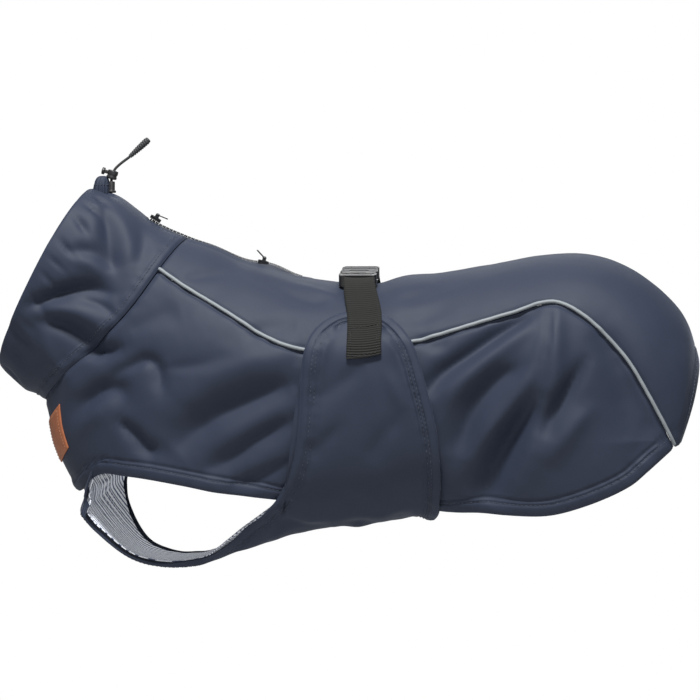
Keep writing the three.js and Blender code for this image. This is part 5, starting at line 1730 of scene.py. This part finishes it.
WEAVE, PATINA, STRIPES, BRAID = weave_group(), patina_group(), stripe_group(), braid_group()


def use(tree, group, **values):
    node = tree.nodes.new("ShaderNodeGroup")
    node.node_tree = group
    for label, value in values.items():
        node.inputs[label].default_value = value
    return node


def finish_material(name, dark, light, roughness, size=0.02, amount=0.4, metallic=0.0, specular=0.5,
                    sheen=0.0,
                    sheen_roughness=0.4, sheen_tint=(1, 1, 1), coat=0.0, coat_roughness=0.3, height=None,
                    bump=0.0, distance=0.0001):
    """A finish that wavers between two tones. Height is a node output that the surface rises by."""
    material = bpy.data.materials.new(name)
    material.use_nodes = True
    tree = material.node_tree
    shader = tree.nodes["Principled BSDF"]
    uneven = use(tree, PATINA, Size=size, Amount=amount, Roughness=roughness)
    colour = tree.nodes.new("ShaderNodeMix")
    colour.data_type = "RGBA"
    tree.links.new(uneven.outputs["Tone"], colour.inputs["Factor"])
    colour.inputs["A"].default_value = (*dark, 1)
    colour.inputs["B"].default_value = (*light, 1)
    tree.links.new(colour.outputs["Result"], shader.inputs["Base Color"])
    tree.links.new(uneven.outputs["Roughness"], shader.inputs["Roughness"])
    shader.inputs["Metallic"].default_value = metallic
    shader.inputs["Specular IOR Level"].default_value = specular
    shader.inputs["Sheen Weight"].default_value = sheen
    shader.inputs["Sheen Roughness"].default_value = sheen_roughness
    shader.inputs["Sheen Tint"].default_value = (*sheen_tint, 1)
    shader.inputs["Coat Weight"].default_value = coat
    shader.inputs["Coat Roughness"].default_value = coat_roughness
    if bump:
        if height == "noise":
            place = tree.nodes.new("ShaderNodeTexCoord")
            grain = tree.nodes.new("ShaderNodeTexNoise")
            grain.inputs["Scale"].default_value = 2600
            grain.inputs["Detail"].default_value = 3
            tree.links.new(place.outputs["Object"], grain.inputs["Vector"])
            source = grain.outputs["Fac"]
        elif height == "braid":
            source = use(tree, BRAID, Pitch=0.0014).outputs["Height"]
        else:
            source = use(tree, WEAVE, Pitch=height, Slubs=0.5).outputs["Height"]
        raised = tree.nodes.new("ShaderNodeBump")
        raised.inputs["Strength"].default_value = bump
        raised.inputs["Distance"].default_value = distance
        tree.links.new(source, raised.inputs["Height"])
        tree.links.new(raised.outputs["Normal"], shader.inputs["Normal"])
    return material


# The striped lining, made to glow faintly in its own colours as painted light for the light that reaches it inside the
# chest strip.
def lining_material_painted_glow():
    material = finish_material("striped lining", (0.74, 0.77, 0.84), (0.90, 0.92, 0.97), 0.75, amount=0.5,
                               height=0.0005, bump=0.35, sheen=0.15)
    tree = material.node_tree
    shader = tree.nodes["Principled BSDF"]
    ground = shader.inputs["Base Color"].links[0].from_socket
    lines = use(tree, STRIPES, Pitch=0.0026, Share=0.36)
    colour = tree.nodes.new("ShaderNodeMix")
    colour.data_type = "RGBA"
    tree.links.new(lines.outputs["Mask"], colour.inputs["Factor"])
    tree.links.new(ground, colour.inputs["A"])
    colour.inputs["B"].default_value = (0.055, 0.075, 0.14, 1)
    tree.links.new(colour.outputs["Result"], shader.inputs["Base Color"])
    # Painted light: the lining's own striped colour is sent to emission, so it glows as if lit inside the strip.
    tree.links.new(colour.outputs["Result"], shader.inputs["Emission Color"])
    shader.inputs["Emission Strength"].default_value = 0.22
    return material


NAVY = {"dark": (0.0165, 0.0225, 0.040), "light": (0.0245, 0.032, 0.055)}
FINISHES = {
    "shell": finish_material("navy coated shell", **NAVY, roughness=0.64, size=0.05, amount=0.5,
                             specular=0.24, sheen=0.08, sheen_roughness=0.35, sheen_tint=(0.75, 0.82, 1.0),
                             height=0.00042, bump=0.15),
    "thread": finish_material("navy thread", (0.020, 0.026, 0.042), (0.034, 0.043, 0.066), 0.6, size=0.004,
                              sheen=0.2),
    "lining": lining_material_painted_glow(),
    "piping": finish_material("reflective tape", (0.17, 0.19, 0.20), (0.24, 0.26, 0.275), 0.55, size=0.006,
                              specular=0.3, height="noise", bump=0.3, distance=0.00006),
    "webbing": finish_material("olive black webbing", (0.008, 0.0085, 0.0075), (0.016, 0.0165, 0.0145), 0.75,
                               size=0.006, amount=0.9, specular=0.25, sheen=0.04, height=0.0009, bump=0.5),
    "webbing thread": finish_material("webbing thread", (0.012, 0.012, 0.011), (0.022, 0.022, 0.020), 0.6,
                                      size=0.004),
    "label": finish_material("tan leather look", (0.26, 0.075, 0.028), (0.40, 0.135, 0.055), 0.6, size=0.004,
                             amount=1.3, height="noise", bump=0.4, distance=0.00012),
    "label thread": finish_material("tan thread", (0.34, 0.15, 0.08), (0.46, 0.22, 0.12), 0.6, size=0.004),
    "teeth": finish_material("navy moulded teeth", (0.020, 0.024, 0.035), (0.034, 0.04, 0.055), 0.4,
                             size=0.004, specular=0.5),
    "tape": finish_material("navy zip tape", (0.018, 0.023, 0.036), (0.03, 0.037, 0.055), 0.75, size=0.004,
                            height=0.0006, bump=0.4),
    "metal": finish_material("dark lacquered metal", (0.028, 0.03, 0.034), (0.055, 0.058, 0.063), 0.36,
                             size=0.004, metallic=0.85, height="noise", bump=0.12, distance=0.00004),
    "buckle": finish_material("black moulded plastic", (0.010, 0.010, 0.011), (0.018, 0.018, 0.020), 0.32,
                              size=0.01, specular=0.55, height="noise", bump=0.2, distance=0.00005),
    "fitting": finish_material("black cord fitting", (0.014, 0.014, 0.015), (0.026, 0.026, 0.027), 0.42,
                               size=0.006, height="noise", bump=0.2, distance=0.00005),
    "grip": finish_material("grey black rubber", (0.020, 0.021, 0.022), (0.036, 0.037, 0.039), 0.6,
                            size=0.004, height="noise", bump=0.3, distance=0.00006),
    "cord": finish_material("black braid", (0.012, 0.013, 0.014), (0.03, 0.031, 0.034), 0.7, size=0.002,
                            amount=1.0, sheen=0.2, height="braid", bump=0.8, distance=0.00022),
}


def dress(piece, finish, slot, *nodes, body=COAT):
    piece.data.materials.clear()
    piece.data.materials.append(FINISHES[finish])
    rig.ride(piece, body)
    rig.slot(piece, slot)
    if nodes:
        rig.replaces(piece, *nodes)
    return piece


# The coat, piece by piece

for side, name in ((-1, "near"), (1, "far")):
    panel, sewing = make_side(side)
    dress(panel, "shell", "shell_cloth", f"side_panel_{name}_front", f"side_panel_{name}_rear")
    dress(sewing, "thread", "shell_cloth")
    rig.sheet(panel, flat=(0.44, 0.17), area=0.062, held="draped", with_pieces=[sewing])
    dress(make_piping(side), "piping", "reflective_piping", f"piping_{name}")

back, back_sewing = make_back()
dress(back, "shell", "shell_cloth", "back_panel")
dress(back_sewing, "thread", "shell_cloth")
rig.sheet(back, flat=(0.25, 0.42), area=0.078, held="draped", with_pieces=[back_sewing])

collar, collar_sewing = make_collar()
dress(collar, "shell", "shell_cloth", "collar")
dress(collar_sewing, "thread", "shell_cloth")
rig.sheet(collar, flat=(0.41, 0.1), area=0.033, held="gathered", with_pieces=[collar_sewing])

belly, belly_sewing = make_belly()
dress(belly, "shell", "shell_cloth", "belly_panel")
dress(belly_sewing, "thread", "shell_cloth")
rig.sheet(belly, flat=(0.52, 0.32), area=0.061, held="draped", with_pieces=[belly_sewing])

lining = make_lining()
dress(lining, "lining", "striped_lining", "belly_lining")
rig.sheet(lining, flat=(0.2, 0.17), area=0.017, held="laid", rests_on=["belly_panel_cloth"])

for side, name in ((-1, "near"), (1, "far")):
    strap, strap_sewing = make_webbing(side)
    dress(strap, "webbing", "webbing", f"webbing_{name}")
    dress(strap_sewing, "webbing thread", "webbing")

label, label_sewing = make_label()
dress(label, "label", "label_leather", "label")
dress(label_sewing, "label thread", "label_leather")

tape, teeth = make_zip()
dress(tape, "tape", "shell_cloth")
dress(teeth, "teeth", "zip_teeth", "zip_chain")
for slider in SLIDERS:
    name = slider["name"]
    dress(make_slider(name, slider["ring"]), "metal", "zip_metal", f"zip_slider_{name}")
    pull = make_pull(name, slider["ring"], slider["rest"])
    dress(pull, "metal", "zip_metal", f"zip_pull_{name}", body=f"{name}_pull")

dress(make_buckle_socket(), "buckle", "buckle_plastic", "buckle_socket")
dress(make_buckle_plug(), "buckle", "buckle_plastic", "buckle_plug")

tab, tab_sewing = make_nape_tab()
dress(tab, "shell", "shell_cloth", "nape_tab")
dress(tab_sewing, "thread", "shell_cloth")
dress(make_eyelet(), "fitting", "cord_hardware", "cord_eyelet")
lock = dress(make_lock(), "fitting", "cord_hardware", "cord_lock")
button = dress(make_button(), "fitting", "cord_hardware", "cord_lock_plunger", body="lock_button")
grip = dress(make_grip(), "grip", "cord_grip", "cord_grip")
dress(cord, "cord", "drawcord", "drawcord")
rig.cord(cord, exit=cord_path[0], length=CORD["length"], diameter=2 * CORD["radius"] * MM, far_end="fitting",
        stiffness="medium", lay="loose", path=cord_path, with_pieces=[lock, grip, button])


# The studio

def white_to_camera(tree, seen, otherwise):
    """Shows the camera plain white, while all other light rays meet the second shader."""
    path = tree.nodes.new("ShaderNodeLightPath")
    either = tree.nodes.new("ShaderNodeMixShader")
    tree.links.new(path.outputs["Is Camera Ray"], either.inputs["Fac"])
    tree.links.new(otherwise, either.inputs[1])
    tree.links.new(seen, either.inputs[2])
    return either.outputs[0]


def make_floor():
    deselect()
    bpy.ops.mesh.primitive_plane_add(size=8, location=(0, 1, FLOOR_Z))
    floor = bpy.context.object
    floor.name = "studio_floor"
    material = bpy.data.materials.new("pale floor")
    material.use_nodes = True
    tree = material.node_tree
    shader = tree.nodes["Principled BSDF"]
    shader.inputs["Base Color"].default_value = (0.5, 0.5, 0.5, 1)
    shader.inputs["Roughness"].default_value = 0.9
    white = tree.nodes.new("ShaderNodeEmission")
    clear = tree.nodes.new("ShaderNodeBsdfTransparent")
    sides = tree.nodes.new("ShaderNodeNewGeometry")
    either = tree.nodes.new("ShaderNodeMixShader")
    tree.links.new(sides.outputs["Backfacing"], either.inputs["Fac"])
    tree.links.new(white_to_camera(tree, white.outputs[0], shader.outputs[0]), either.inputs[1])
    tree.links.new(clear.outputs[0], either.inputs[2])
    tree.links.new(either.outputs[0], tree.nodes["Material Output"].inputs["Surface"])
    floor.data.materials.append(material)
    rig.stage(floor)


def make_light(name, at, aim, size, power, colour=(1, 1, 1)):
    data = bpy.data.lights.new(name, "AREA")
    data.shape = "RECTANGLE"
    data.size, data.size_y = size
    data.energy = power
    data.color = colour
    light = bpy.data.objects.new(name, data)
    light.location = at
    light.rotation_mode = "QUATERNION"
    light.rotation_quaternion = (Vector(aim) - Vector(at)).to_track_quat("-Z", "Y")
    light.visible_camera = False
    bpy.context.scene.collection.objects.link(light)


def make_world():
    world = bpy.data.worlds.new("studio")
    bpy.context.scene.world = world
    world.use_nodes = True
    tree = world.node_tree
    fill = tree.nodes["Background"]
    fill.inputs["Color"].default_value = (0.9, 0.95, 1, 1)
    fill.inputs["Strength"].default_value = 0.2
    white = tree.nodes.new("ShaderNodeBackground")
    white.inputs["Color"].default_value = (1, 1, 1, 1)
    white.inputs["Strength"].default_value = 1
    seen = white_to_camera(tree, white.outputs[0], fill.outputs[0])
    tree.links.new(seen, tree.nodes["World Output"].inputs["Surface"])


FLOOR_Z = -0.34
make_floor()
make_light("key", (-0.06, -0.9, 1.62), (0, 0, -0.05), (0.36, 0.32), 64)
make_light("front", (0.3, -2.0, 0.8), (0, 0, -0.08), (0.6, 0.5), 6)
make_light("rear", (0.1, 1.6, 1.2), (0, 0, -0.08), (1.2, 0.8), 9)
make_world()
bpy.context.scene.view_settings.view_transform = "Standard"

with open("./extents.json", "w") as size_file:
    json.dump({"frame": FRAME_BOX, "dressed": [list(corner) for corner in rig.bounds()]}, size_file)
